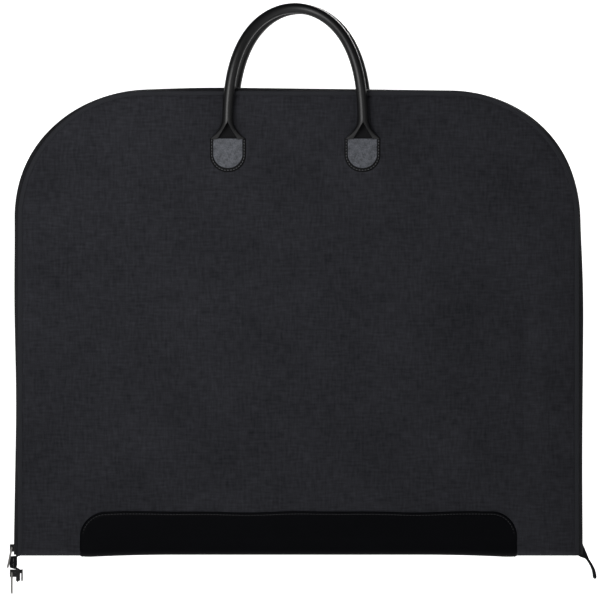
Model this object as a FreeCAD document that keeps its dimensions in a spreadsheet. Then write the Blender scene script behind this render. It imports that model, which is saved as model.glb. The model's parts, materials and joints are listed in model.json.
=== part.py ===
import FreeCAD, Part
import math
import os
import Sketcher

# Fold-over garment bag. X runs across the bag, the front face looks along -Y and Z is up.
# The origin is the grip point, midway between the tops of the two handles.
# Two shallow trays stand back to back on a narrow base and open flat like a book with a spine.

document = FreeCAD.newDocument("garment_bag")
sizes = document.addObject("Spreadsheet::Sheet", "Sizes")
sub_parts = []

DRIVING_SIZES = (
    ("bagWidth", 600.0, "overall width across the zip coils"),
    ("bagHeight", 494.0, "height from the fold to the top"),
    ("bagDepth", 50.0, "depth over both fabric faces"),
    ("cornerRadius", 138.0, "outline radius of the top corners"),
    ("foldGap", 0.3, "gap between a tray and the base it turns on"),
    ("panelThickness", 1.6, "face fabric with its backing"),
    ("gussetThickness", 1.2, "side fabric"),
    ("gussetEdge", 8.0, "distance of the gusset's inner edge from the middle of the bag"),
    ("gussetFoot", 2.6, "height at which the gusset starts above the fold"),
    ("bindingWidth", 4.8, "edge binding seen from the face"),
    ("bindingDepth", 2.6, "edge binding front to back"),
    ("bindingProud", 1.0, "how far the binding stands out of the face"),
    ("stiffenerInset", 14.0, "stiffener edge inside the outline"),
    ("stiffenerThickness", 1.5, "foam board"),
    ("liningThickness", 0.6, "lining cloth"),
    ("coilRadius", 1.3, "radius of one zip coil"),
    ("coilGap", 1.1, "gap between the two coils, where a slider's neck runs"),
    ("tapeWidth", 9.4, "zip tape, one side"),
    ("tapeThickness", 0.8, "zip tape"),
    ("tapeFoot", 15.0, "height at which the zip leaves the fold's corners"),
    ("patchLength", 465.0, "leather patch along the fold"),
    ("patchHeight", 45.0, "leather patch up each face"),
    ("patchCorner", 27.0, "radius of the patch's top corners"),
    ("patchThickness", 1.2, "patch leather"),
    ("tabWidth", 38.5, "handle tab"),
    ("tabHeight", 36.0, "handle tab"),
    ("tabCorner", 17.0, "radius of the handle tab's lower corners"),
    ("tabThickness", 2.0, "handle tab leather"),
    ("tabDrop", 52.0, "top of the tabs below the top of the bag"),
    ("backingMargin", 4.0, "backing leather beyond the tab, all round"),
    ("backingThickness", 0.8, "backing leather"),
    ("handleSpacing", 143.0, "between the two legs of a handle"),
    ("handleOffset", 3.5, "front handle left of the bag's middle"),
    ("rearHandleOffset", 1.5, "rear handle right of the bag's middle"),
    ("gripRise", 139.5, "grip point above the top of the tabs"),
    ("gripHalfGap", 7.5, "handle centre line from the middle of the bag at the grip"),
    ("legLength", 31.0, "upright part of a handle's leg above its neck"),
    ("legClearance", 0.9, "handle roll from the edge binding"),
    ("rollRadius", 5.5, "rolled leather handle"),
    ("coreRadius", 3.4, "rope core of a handle"),
    ("coreClearance", 0.1, "rope core inside its leather"),
    ("neckHeight", 19.0, "flare between a roll and its tab"),
    ("neckWidth", 36.0, "flare at its tab"),
    ("neckThickness", 1.4, "flare at its tab"),
    ("neckGap", 1.5, "gap between a flare and its tab, bridged by bending leather"),
    ("sliderLength", 12.0, "zip slider"),
    ("sliderHalfWidth", 5.5, "zip slider, half its width"),
    ("sliderPlate", 1.2, "plates of a zip slider"),
    ("sliderClearance", 0.5, "slider plates from the coils and the tape"),
    ("sliderNeck", 0.5, "web that joins the slider's plates between the coils"),
    ("bridgeReach", 6.9, "slider bridge beyond its outer plate"),
    ("bridgeHalfWidth", 1.2, "slider bridge, half its width"),
    ("barRadius", 0.9, "cross bar of a puller"),
    ("barClearance", 0.05, "cross bar in its bridge"),
    ("barSetback", 2.1, "cross bar centre inside the end of the bridge"),
    ("barHeight", 8.0, "cross bar above the slider's lower end"),
    ("pullerWidth", 6.4, "puller"),
    ("pullerLength", 22.0, "puller below its cross bar"),
    ("pullerSlot", 7.0, "slot of the puller round the bridge"),
    ("upperLean", 12.0, "upper puller leans outwards, degrees"),
    ("upperSlider", -3.0, "lower end of the upper slider above the fold"),
    ("lowerSlider", -30.0, "lower end of the lower slider above the fold"),
    ("tailHalfWidth", 5.0, "left zip tail"),
    ("tailDrop", 36.0, "left zip tail below the fold"),
    ("tailHead", 12.0, "top of the front strip of a tail above the fold"),
    ("tailEndHalfWidth", 2.5, "lower end of a zip tail"),
    ("rightTailReach", 19.0, "right zip tail beyond the side"),
    ("rightTailDrop", 29.0, "right zip tail below the fold"),
    ("rightTailThickness", 3.0, "right zip tail"),
    ("rightTailHead", 0.2, "right zip tail beyond the side at its top"),
    ("rightTailSwell", 4.5, "right zip tail beyond the side where it bends away"),
    ("rightTailSlope", 1.2, "slant of the right zip tail's cut ends"),
    ("rightTailRoot", 7.0, "height at which the right zip tail leaves its tape"),
    ("tailSlotMargin", 2.0, "slot of the left zip tail below the lower slider"),
    ("hangerTabWidth", 40.0, "hanger tab"),
    ("hangerTabLength", 44.0, "hanger tab below the top"),
    ("hangerTabCorner", 16.0, "radius of the hanger tab's lower corners"),
    ("hangerTabThickness", 2.5, "hanger tab leather"),
    ("hangerTabDepth", 8.0, "hanger tab from the middle of the bag"),
    ("hangerFlangeGap", 0.8, "sewn flange of the hanger tab from the lining"),
    ("eyeletRadius", 5.0, "bore of the hanger eyelet"),
    ("eyeletWall", 1.5, "barrel of the hanger eyelet"),
    ("eyeletFlange", 9.0, "outer radius of the eyelet's flanges"),
    ("eyeletFlangeThickness", 0.6, "eyelet flanges"),
    ("eyeletHeight", 12.0, "eyelet centre above the tab's lower end"),
    ("bandWidth", 30.0, "elastic garment band"),
    ("bandThickness", 1.0, "elastic garment band"),
    ("bandHeight", 190.0, "lower edge of the garment band above the fold"),
    ("bandDepth", 12.0, "garment band from the middle of the bag"),
)


def fill_sheet():
    sizes.set("A1", "size")
    sizes.set("B1", "value")
    for row, (alias, number, meaning) in enumerate(DRIVING_SIZES, start=2):
        sizes.set("A%d" % row, meaning)
        sizes.set("B%d" % row, str(number))
        sizes.setAlias("B%d" % row, alias)
    document.recompute()


fill_sheet()

# Formulas that several pieces share. Insets are measured inwards from the overall outline.
HALF_WIDTH = "(Sizes.bagWidth / 2)"
HALF_DEPTH = "(Sizes.bagDepth / 2)"
TAB_TOP = "(Sizes.bagHeight - Sizes.tabDrop)"
FOLD_Z = "(-(Sizes.bagHeight - Sizes.tabDrop + Sizes.gripRise))"
TAPE_INSET = "(2 * Sizes.coilRadius)"
INNER_INSET = "(2 * Sizes.coilRadius + Sizes.tapeThickness)"
GUSSET_INSET = "(2 * Sizes.coilRadius - Sizes.gussetThickness)"
PANEL_INSET = "(2 * Sizes.coilRadius - Sizes.gussetThickness + Sizes.bindingWidth)"
COIL_OFFSET = "(Sizes.coilGap / 2 + Sizes.coilRadius)"
PANEL_INSIDE = "(Sizes.bagDepth / 2 - Sizes.panelThickness)"
STIFFENER_INSIDE = "(Sizes.bagDepth / 2 - Sizes.panelThickness - Sizes.stiffenerThickness)"
LINING_INSIDE = "(%s - Sizes.liningThickness)" % STIFFENER_INSIDE
SLIDER_INSET = "(%s + Sizes.sliderClearance + Sizes.sliderPlate)" % INNER_INSET
TAB_OUTSIDE = "(Sizes.bagDepth / 2 + Sizes.tabThickness)"


def number(formula):
    return float(sizes.evalExpression(formula))


def inset_outline(inset):
    """Half width, top and corner radius of the bag's outline moved inwards by an inset."""
    return ("%s - %s" % (HALF_WIDTH, inset),
            "Sizes.bagHeight - %s" % inset,
            "Sizes.cornerRadius - %s" % inset)


def bind_place(piece, x="0", y="0", z=FOLD_Z):
    for axis, formula in (("x", x), ("y", y), ("z", z)):
        piece.setExpression("Placement.Base." + axis, formula)


def new_body(label, x="0", y="0", z=FOLD_Z):
    body = document.addObject("PartDesign::Body", label)
    body.Label = label
    bind_place(body, x, y, z)
    sub_parts.append(body)
    return body


def new_sketch(body, name, plane="XZ_Plane", x="0", y="0", z="0"):
    """Sketch on one of the body's own origin planes, moved within and off that plane."""
    sketch = body.newObject("Sketcher::SketchObject", body.Name + "_" + name)
    support = next(item for item in body.Origin.OriginFeatures if item.Role == plane)
    sketch.AttachmentSupport = (support, [""])
    sketch.MapMode = "FlatFace"
    for axis, formula in (("x", x), ("y", y), ("z", z)):
        sketch.setExpression("AttachmentOffset.Base." + axis, formula)
    return sketch


def dimension(sketch, name, kind, points, formula):
    index = sketch.addConstraint(Sketcher.Constraint(kind, *points, number(formula)))
    sketch.renameConstraint(index, name)
    sketch.setExpression("Constraints." + name, formula)


def arch(sketch, name, half_width, bottom, top, radius):
    """Open line up the left side, over the top with round corners and down the right side."""
    half, high, low, round_ = (number(f) for f in (half_width, top, bottom or "0", radius))
    vector, up = FreeCAD.Vector, FreeCAD.Vector(0, 0, 1)
    quarter = math.pi / 2
    left_circle = Part.Circle(vector(round_ - half, high - round_, 0), up, round_)
    right_circle = Part.Circle(vector(half - round_, high - round_, 0), up, round_)
    edges = [
        Part.LineSegment(vector(-half, low, 0), vector(-half, high - round_, 0)),
        Part.ArcOfCircle(left_circle, quarter, 2 * quarter),
        Part.LineSegment(vector(round_ - half, high, 0), vector(half - round_, high, 0)),
        Part.ArcOfCircle(right_circle, 0, quarter),
        Part.LineSegment(vector(half, high - round_, 0), vector(half, low, 0)),
    ]
    left, left_arc, roof, right_arc, right = sketch.addGeometry(edges, False)
    for pair in ((left, 2, left_arc, 2), (left_arc, 1, roof, 1),
                 (roof, 2, right_arc, 2), (right_arc, 1, right, 1)):
        sketch.addConstraint(Sketcher.Constraint("Tangent", *pair))
    sketch.addConstraint(Sketcher.Constraint("Vertical", left))
    sketch.addConstraint(Sketcher.Constraint("Vertical", right))
    sketch.addConstraint(Sketcher.Constraint("Horizontal", roof))
    sketch.addConstraint(Sketcher.Constraint("Equal", left_arc, right_arc))
    sketch.addConstraint(Sketcher.Constraint("Symmetric", left, 1, right, 2, -2))
    if bottom:
        dimension(sketch, name + "Bottom", "DistanceY", (-1, 1, left, 1), bottom)
    else:
        sketch.addConstraint(Sketcher.Constraint("PointOnObject", left, 1, -1))
    dimension(sketch, name + "Half", "DistanceX", (-1, 1, right, 2), half_width)
    dimension(sketch, name + "Top", "DistanceY", (-1, 1, roof, 1), top)
    dimension(sketch, name + "Radius", "Radius", (left_arc,), radius)
    return left, right


def join_ends(sketch, first, first_end, second, second_end):
    """Straight line between two line ends."""
    line = sketch.addGeometry(Part.LineSegment(sketch.getPoint(first, first_end),
                                               sketch.getPoint(second, second_end)), False)
    sketch.addConstraint(Sketcher.Constraint("Coincident", line, 1, first, first_end))
    sketch.addConstraint(Sketcher.Constraint("Coincident", line, 2, second, second_end))


def polygon(sketch, corners):
    """Closed outline whose corners are each placed by two formulas."""
    points = [FreeCAD.Vector(number(x), number(y), 0) for x, y in corners]
    lines = [Part.LineSegment(points[i - 1], points[i]) for i in range(len(points))]
    indices = sketch.addGeometry(lines, False)
    for place, line in enumerate(indices):
        sketch.addConstraint(Sketcher.Constraint("Coincident", line, 1, indices[place - 1], 2))
        x, y = corners[place]
        dimension(sketch, "corner%dx" % place, "DistanceX", (-1, 1, line, 2), x)
        dimension(sketch, "corner%dy" % place, "DistanceY", (-1, 1, line, 2), y)


def circle(sketch, name, radius, height=None):
    """Circle on the sketch's origin, or at a height above it."""
    centre = FreeCAD.Vector(0, number(height) if height else 0, 0)
    ring = sketch.addGeometry(Part.Circle(centre, FreeCAD.Vector(0, 0, 1), number(radius)), False)
    if height:
        sketch.addConstraint(Sketcher.Constraint("PointOnObject", ring, 3, -2))
        dimension(sketch, name + "Height", "DistanceY", (-1, 1, ring, 3), height)
    else:
        sketch.addConstraint(Sketcher.Constraint("Coincident", ring, 3, -1, 1))
    dimension(sketch, name + "Radius", "Radius", (ring,), radius)


def pad(body, sketch, length):
    """Pad along the sketch's normal, which is -Y for a sketch on the XZ plane."""
    feature = body.newObject("PartDesign::Pad", sketch.Name + "_pad")
    feature.Profile = sketch
    feature.setExpression("Length", length)
    body.Tip = feature
    sketch.Visibility = False
    return feature


def arch_plate(label, rear_face, thickness, half_width, bottom, top, radius):
    """Flat piece with round top corners, from its rear face forwards."""
    body = new_body(label, y=rear_face)
    sketch = new_sketch(body, "outline")
    left, right = arch(sketch, "edge", half_width, bottom, top, radius)
    join_ends(sketch, right, 2, left, 1)
    pad(body, sketch, thickness)
    return body


def arch_band(label, rear_face, depth, bottom, outer_inset, inner_inset):
    """Strip that follows both sides and the top of the bag between two insets."""
    body = new_body(label, y=rear_face)
    sketch = new_sketch(body, "outline")
    half, top, radius = inset_outline(outer_inset)
    outer_left, outer_right = arch(sketch, "outer", half, bottom, top, radius)
    half, top, radius = inset_outline(inner_inset)
    inner_left, inner_right = arch(sketch, "inner", half, bottom, top, radius)
    join_ends(sketch, outer_left, 1, inner_left, 1)
    join_ends(sketch, outer_right, 2, inner_right, 2)
    pad(body, sketch, depth)
    return body


def rear_face_of(side, near, far):
    """The larger Y of a slab that lies between two distances from the middle of the bag."""
    return "-(%s)" % near if side == "front" else far


def make_coil(side):
    """Zip coil as a round strip along both sides and the top."""
    sign = "-" if side == "front" else ""
    body = new_body(side + "_zip_coil", y=sign + COIL_OFFSET)
    spine = new_sketch(body, "path")
    half, top, radius = inset_outline("Sizes.coilRadius")
    left, right = arch(spine, "path", half, "Sizes.tapeFoot", top, radius)
    section = new_sketch(body, "section", "XY_Plane", x="-(%s)" % half, z="Sizes.tapeFoot")
    circle(section, "coil", "Sizes.coilRadius")
    pipe = body.newObject("PartDesign::AdditivePipe", side + "_coil_pipe")
    pipe.Profile = section
    pipe.Spine = (spine, ["Edge%d" % i for i in range(1, 6)])
    body.Tip = pipe


def make_tray(side):
    """Fabric shell, stiffener, lining, binding, gusset and zip of one half of the bag."""
    half, top, radius = inset_outline(PANEL_INSET)
    arch_plate(side + "_panel", rear_face_of(side, PANEL_INSIDE, HALF_DEPTH),
               "Sizes.panelThickness", half, "Sizes.foldGap", top, radius)
    half, top, radius = inset_outline("Sizes.stiffenerInset")
    arch_plate(side + "_stiffener", rear_face_of(side, STIFFENER_INSIDE, PANEL_INSIDE),
               "Sizes.stiffenerThickness", half, "Sizes.stiffenerInset", top, radius)
    half, top, radius = inset_outline(INNER_INSET)
    arch_plate(side + "_lining", rear_face_of(side, LINING_INSIDE, STIFFENER_INSIDE),
               "Sizes.liningThickness", half, "Sizes.gussetFoot", top, radius)
    binding_out = "(%s + Sizes.bindingProud)" % HALF_DEPTH
    binding_in = "(%s - Sizes.bindingDepth)" % binding_out
    arch_band(side + "_binding", rear_face_of(side, binding_in, binding_out),
              "Sizes.bindingDepth", "Sizes.foldGap", GUSSET_INSET, PANEL_INSET)
    arch_band(side + "_gusset", rear_face_of(side, "Sizes.gussetEdge", binding_in),
              "%s - Sizes.gussetEdge" % binding_in, "Sizes.gussetFoot", GUSSET_INSET, TAPE_INSET)
    tape_out = "(%s + Sizes.tapeWidth)" % COIL_OFFSET
    arch_band(side + "_zip_tape", rear_face_of(side, COIL_OFFSET, tape_out),
              "Sizes.tapeWidth", "Sizes.tapeFoot", TAPE_INSET, INNER_INSET)
    make_coil(side)
    outside = "(%s + Sizes.patchThickness)" % HALF_DEPTH
    arch_plate(side + "_patch_flap", rear_face_of(side, HALF_DEPTH, outside),
               "Sizes.patchThickness", "Sizes.patchLength / 2", "Sizes.foldGap",
               "Sizes.patchHeight", "Sizes.patchCorner")
    make_band(side)


def make_band(side):
    """Elastic band across the tray that holds the garment, sewn into the gusset."""
    band_far = "(Sizes.bandDepth + Sizes.bandThickness)"
    low_y = "-" + band_far if side == "front" else "Sizes.bandDepth"
    length = "(Sizes.bagWidth - 2 * %s)" % TAPE_INSET
    block(side + "_garment_band", (length, "Sizes.bandThickness", "Sizes.bandWidth"),
          ("-%s / 2" % length, low_y, FOLD_Z + " + Sizes.bandHeight"))


def block(label, lengths, low_corner, keep=True):
    """Box from its lowest corner."""
    box = document.addObject("Part::Box", label)
    box.Label = label
    for side, formula in zip(("Length", "Width", "Height"), lengths):
        box.setExpression(side, formula)
    bind_place(box, *low_corner)
    if keep:
        sub_parts.append(box)
    return box


def cross_cylinder(label, radius, length, x, y, z):
    """Cylinder along Y whose lower Y end is at y."""
    rod = document.addObject("Part::Cylinder", label)
    rod.setExpression("Radius", radius)
    rod.setExpression("Height", length)
    rod.Placement.Rotation = FreeCAD.Rotation(FreeCAD.Vector(1, 0, 0), -90)
    bind_place(rod, x, y, z)
    return rod


def fuse(label, pieces):
    joined = document.addObject("Part::MultiFuse", label)
    joined.Label = label
    joined.Shapes = pieces
    joined.Refine = True
    return joined


def cut(label, base, tool):
    result = document.addObject("Part::Cut", label)
    result.Label = label
    result.Base = base
    result.Tool = tool
    return result


def make_base():
    """Fabric spine between the trays, its lining and the leather under it."""
    half = "(%s - %s - 2 * Sizes.foldGap)" % (HALF_WIDTH, SLIDER_INSET)
    depth = "(%s - Sizes.foldGap)" % PANEL_INSIDE
    block("base_panel", ("2 * " + half, "2 * " + depth, "Sizes.panelThickness"),
          ("-" + half, "-" + depth, FOLD_Z))
    block("base_lining", ("2 * " + half, "2 * " + depth, "Sizes.liningThickness"),
          ("-" + half, "-" + depth, FOLD_Z + " + Sizes.panelThickness"))
    reach = "(%s + Sizes.patchThickness)" % HALF_DEPTH
    block("base_patch", ("Sizes.patchLength", "2 * " + reach, "Sizes.patchThickness"),
          ("-Sizes.patchLength / 2", "-" + reach, FOLD_Z + " - Sizes.patchThickness"))


def hanging_plate(label, x, rear_face, z, thickness, width, length, corner):
    """Flat piece with a straight top edge at z and round lower corners."""
    body = new_body(label, x, rear_face, z)
    body.Placement.Rotation = FreeCAD.Rotation(FreeCAD.Vector(0, 1, 0), 180)
    sketch = new_sketch(body, "outline")
    left, right = arch(sketch, "edge", width + " / 2", None, length, corner)
    join_ends(sketch, right, 2, left, 1)
    pad(body, sketch, thickness)
    return body, sketch


def make_tabs(side, handle_x):
    """Handle tabs on the face and the backing leather behind them."""
    margin = "Sizes.backingMargin"
    for name, sign in (("left", "-"), ("right", "+")):
        x = "%s %s Sizes.handleSpacing / 2" % (handle_x, sign)
        hanging_plate("%s_tab_%s" % (side, name), x, rear_face_of(side, HALF_DEPTH, TAB_OUTSIDE),
                      "%s + %s" % (FOLD_Z, TAB_TOP), "Sizes.tabThickness", "Sizes.tabWidth",
                      "Sizes.tabHeight", "Sizes.tabCorner")
        near = "(%s - Sizes.backingThickness)" % LINING_INSIDE
        hanging_plate("%s_tab_backing_%s" % (side, name), x, rear_face_of(side, near, LINING_INSIDE),
                      "%s + %s + %s" % (FOLD_Z, TAB_TOP, margin), "Sizes.backingThickness",
                      "(Sizes.tabWidth + 2 * %s)" % margin, "(Sizes.tabHeight + 2 * %s)" % margin,
                      "Sizes.tabCorner + " + margin)


# The roll of a handle stands clear of the edge binding, outside the plane of its tabs.
LEG_OFFSET = "(Sizes.bindingProud + Sizes.rollRadius + Sizes.legClearance - Sizes.tabThickness / 2)"
HANDLE_RISE = "(Sizes.gripRise - Sizes.neckGap)"
LEAN_RUN = "(%s + Sizes.tabThickness / 2 + %s - Sizes.gripHalfGap)" % (HALF_DEPTH, LEG_OFFSET)
BOW_STEPS = 7       # straight runs in the bow of a handle
ARC_SHARE = 0.45    # part of the shorter run that an arc may take up


def handle_points():
    """Corners of a handle's centre line: two upright legs and half an ellipse that leans inwards."""
    half, foot = number("Sizes.handleSpacing / 2"), number("Sizes.neckHeight")
    spring, rise = number("Sizes.neckHeight + Sizes.legLength"), number(HANDLE_RISE)
    outwards, lean = number(LEG_OFFSET), number(LEAN_RUN)
    points = [FreeCAD.Vector(half, -outwards, foot)]
    highest = math.sin(math.pi * (BOW_STEPS // 2) / BOW_STEPS)
    for step in range(BOW_STEPS + 1):
        angle = math.pi * step / BOW_STEPS
        climb = math.sin(angle) / highest
        points.append(FreeCAD.Vector(half * math.cos(angle), lean * climb ** 2 - outwards,
                                     spring + (rise - spring) * climb))
    points.append(FreeCAD.Vector(-half, -outwards, foot))
    return points


def rounded_wire(points):
    """Straight runs joined by tangent arcs, each as large as its two runs allow."""
    edges, start = [], points[0]
    for before, corner, after in zip(points, points[1:], points[2:]):
        back, ahead = before - corner, after - corner
        reach = ARC_SHARE * min(back.Length, ahead.Length)
        back.normalize()
        ahead.normalize()
        first, last = corner + back * reach, corner + ahead * reach
        half_turn = (math.pi - back.getAngle(ahead)) / 2
        radius = reach / math.tan(half_turn)
        middle_way = back + ahead
        middle_way.normalize()
        middle = corner + middle_way * (radius / math.cos(half_turn) - radius)
        edges.append(Part.LineSegment(start, first).toShape())
        edges.append(Part.Arc(first, middle, last).toShape())
        start = last
    edges.append(Part.LineSegment(start, points[-1]).toShape())
    return Part.Wire(edges)


def tube_along(wire, radius):
    """Solid round bar along a wire that starts upwards."""
    up = FreeCAD.Vector(0, 0, 1)
    ring = Part.Wire(Part.Circle(wire.OrderedVertexes[0].Point, up, radius).toShape())
    return wire.makePipeShell([ring], True, False)


def neck_flare(sign):
    """Leather that widens and flattens from the end of a roll to its tab."""
    centre = sign * number("Sizes.handleSpacing / 2")
    wide, thick = number("Sizes.neckWidth / 2"), number("Sizes.neckThickness / 2")
    corners = [FreeCAD.Vector(centre + a * wide, b * thick, 0)
               for a, b in ((-1, -1), (1, -1), (1, 1), (-1, 1), (-1, -1))]
    head = FreeCAD.Vector(centre, -number(LEG_OFFSET), number("Sizes.neckHeight"))
    ring = Part.Circle(head, FreeCAD.Vector(0, 0, 1), number("Sizes.rollRadius"))
    return Part.makeLoft([Part.makePolygon(corners), Part.Wire(ring.toShape())], True)


def place_handle(label, side, handle_x, shape):
    """Part feature at the neck line of a handle, turned to face its own side of the bag."""
    piece = document.addObject("Part::Feature", label)
    piece.Label = label
    piece.Shape = shape
    if side == "rear":
        piece.Placement.Rotation = FreeCAD.Rotation(FreeCAD.Vector(0, 0, 1), 180)
    sign = "-" if side == "front" else ""
    bind_place(piece, handle_x, "%s(%s + Sizes.tabThickness / 2)" % (sign, HALF_DEPTH),
               "-" + HANDLE_RISE)
    sub_parts.append(piece)


def make_handle(side, handle_x):
    """Rolled leather handle that flares to its tabs, with a rope core."""
    wire = rounded_wire(handle_points())
    outside = tube_along(wire, number("Sizes.rollRadius"))
    bore = tube_along(wire, number("Sizes.coreRadius + Sizes.coreClearance"))
    leather = outside.cut(bore).fuse([neck_flare(-1), neck_flare(1)]).removeSplitter()
    place_handle(side + "_handle_roll", side, handle_x, leather)
    rope = tube_along(wire, number("Sizes.coreRadius"))
    place_handle(side + "_handle_core", side, handle_x, rope)


def make_slider(label, height):
    """Zip slider: two plates, the web between the coils, tape guides and the bridge."""
    half = "Sizes.sliderHalfWidth"
    plate = "Sizes.sliderPlate"
    long_ = "Sizes.sliderLength"
    outer = "(-Sizes.sliderClearance - Sizes.sliderPlate)"
    inner = "(%s + Sizes.sliderClearance)" % INNER_INSET
    guide_low = "(Sizes.coilGap / 2 + 2 * Sizes.coilRadius + Sizes.sliderClearance)"
    guide_width = "(%s - %s)" % (half, guide_low)
    guide_depth = "(%s - Sizes.sliderClearance - %s)" % (TAPE_INSET, outer)
    web = "Sizes.sliderNeck"
    bridge = "Sizes.bridgeHalfWidth"
    tip = "(%s - Sizes.bridgeReach)" % outer
    bar_x = "(%s + Sizes.barSetback)" % tip
    pieces = [
        block(label + "_outer", (plate, "2 * " + half, long_), (outer, "-" + half, "0"), False),
        block(label + "_inner", (plate, "2 * " + half, long_), (inner, "-" + half, "0"), False),
        block(label + "_web", ("%s - %s" % (inner, outer), web, "%s / 3" % long_),
              (outer, "-%s / 2" % web, "%s * 2 / 3" % long_), False),
        block(label + "_guide_a", (guide_depth, guide_width, long_),
              (outer, guide_low, "0"), False),
        block(label + "_guide_b", (guide_depth, guide_width, long_),
              (outer, "-" + half, "0"), False),
        block(label + "_bridge", ("Sizes.bridgeReach", "2 * " + bridge, "%s * 2 / 3" % long_),
              (tip, "-" + bridge, "%s / 3" % long_), False),
    ]
    bore = cross_cylinder(label + "_bore", "Sizes.barRadius + Sizes.barClearance",
                          "4 * " + bridge, bar_x, "-2 * " + bridge, "Sizes.barHeight")
    slider = cut(label, fuse(label + "_solid", pieces), bore)
    bind_place(slider, "-" + HALF_WIDTH, "0", "%s + %s" % (FOLD_Z, height))
    sub_parts.append(slider)


def make_puller(label, height, lean):
    """Forked metal tongue that hangs by its cross bar."""
    half = "Sizes.pullerWidth / 2"
    thick = "(2 * Sizes.barRadius)"
    slot_half = "(Sizes.bridgeHalfWidth + Sizes.sliderClearance)"
    arm = "(%s - %s)" % (half, slot_half)
    bar = cross_cylinder(label + "_bar", "Sizes.barRadius", "Sizes.pullerWidth",
                         "0", "-" + half, "0")
    pieces = [bar]
    for name, low in (("arm_a", "-" + half), ("arm_b", slot_half)):
        pieces.append(block(label + "_" + name, (thick, arm, "Sizes.pullerSlot"),
                            ("-%s / 2" % thick, low, "-Sizes.pullerSlot"), False))
    tongue = "(Sizes.pullerLength - Sizes.pullerSlot - Sizes.pullerWidth / 2)"
    pieces.append(block(label + "_tongue", (thick, "Sizes.pullerWidth", tongue),
                        ("-%s / 2" % thick, "-" + half, "-Sizes.pullerSlot - " + tongue), False))
    end = document.addObject("Part::Cylinder", label + "_end")
    end.setExpression("Radius", half)
    end.setExpression("Height", thick)
    end.Placement.Rotation = FreeCAD.Rotation(FreeCAD.Vector(0, 1, 0), 90)
    bind_place(end, "-%s / 2" % thick, "0", "-Sizes.pullerSlot - " + tongue)
    pieces.append(end)
    puller = fuse(label, pieces)
    outer = "(-Sizes.sliderClearance - Sizes.sliderPlate)"
    puller.Placement.Rotation = FreeCAD.Rotation(FreeCAD.Vector(0, 1, 0), 1)
    puller.setExpression("Placement.Rotation.Angle", lean)
    bind_place(puller, "-%s + %s - Sizes.bridgeReach + Sizes.barSetback" % (HALF_WIDTH, outer),
               "0", "%s + %s + Sizes.barHeight" % (FOLD_Z, height))
    sub_parts.append(puller)


def make_left_tail():
    """Closed end of the zip below the left corner, split where the sliders' webs run."""
    body = new_body("zip_tail_left", x="-" + HALF_WIDTH)
    wide, slim = "Sizes.tailHalfWidth", "Sizes.tailEndHalfWidth"
    gap = "Sizes.coilGap / 2"
    slot = "(Sizes.lowerSlider - Sizes.tailSlotMargin)"
    tape = new_sketch(body, "tape", "YZ_Plane", z=TAPE_INSET)
    polygon(tape, [(wide, "Sizes.tapeFoot"), (wide, "Sizes.lowerSlider"),
                   (slim, "-Sizes.tailDrop"), ("-" + slim, "-Sizes.tailDrop"),
                   ("-" + wide, "Sizes.lowerSlider"), ("-" + wide, "Sizes.tailHead"),
                   ("-" + gap, "Sizes.tailHead"), ("-" + gap, slot), (gap, slot),
                   (gap, "Sizes.tapeFoot")])
    pad(body, tape, "Sizes.tapeThickness")
    far = "(Sizes.coilGap / 2 + 2 * Sizes.coilRadius)"
    for name, near_y, far_y, head in (("rear", gap, far, "Sizes.tapeFoot"),
                                      ("front", "-" + gap, "-" + far, "Sizes.tailHead")):
        coil = new_sketch(body, name + "_coil", "YZ_Plane")
        polygon(coil, [(near_y, head), (near_y, slot), (far_y, slot), (far_y, head)])
        pad(body, coil, TAPE_INSET)


def make_right_tail():
    """Tapered closed end of the zip that stands out below the right corner."""
    body = new_body("zip_tail_right", x=HALF_WIDTH, y="Sizes.tailHalfWidth")
    sketch = new_sketch(body, "outline")
    thick = "Sizes.rightTailThickness"
    polygon(sketch, [("-" + TAPE_INSET, "Sizes.tailHead"), ("Sizes.rightTailHead", "Sizes.tailHead"),
                     ("Sizes.rightTailSwell", "Sizes.tailHead / 3"),
                     ("Sizes.rightTailReach", "-Sizes.rightTailDrop + Sizes.rightTailSlope"),
                     ("Sizes.rightTailReach - %s" % thick, "-Sizes.rightTailDrop"),
                     ("Sizes.rightTailSwell - " + thick, "Sizes.tailHead / 3 - Sizes.rightTailSlope"),
                     ("-" + TAPE_INSET, "Sizes.rightTailRoot")])
    pad(body, sketch, "2 * Sizes.tailHalfWidth")


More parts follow.
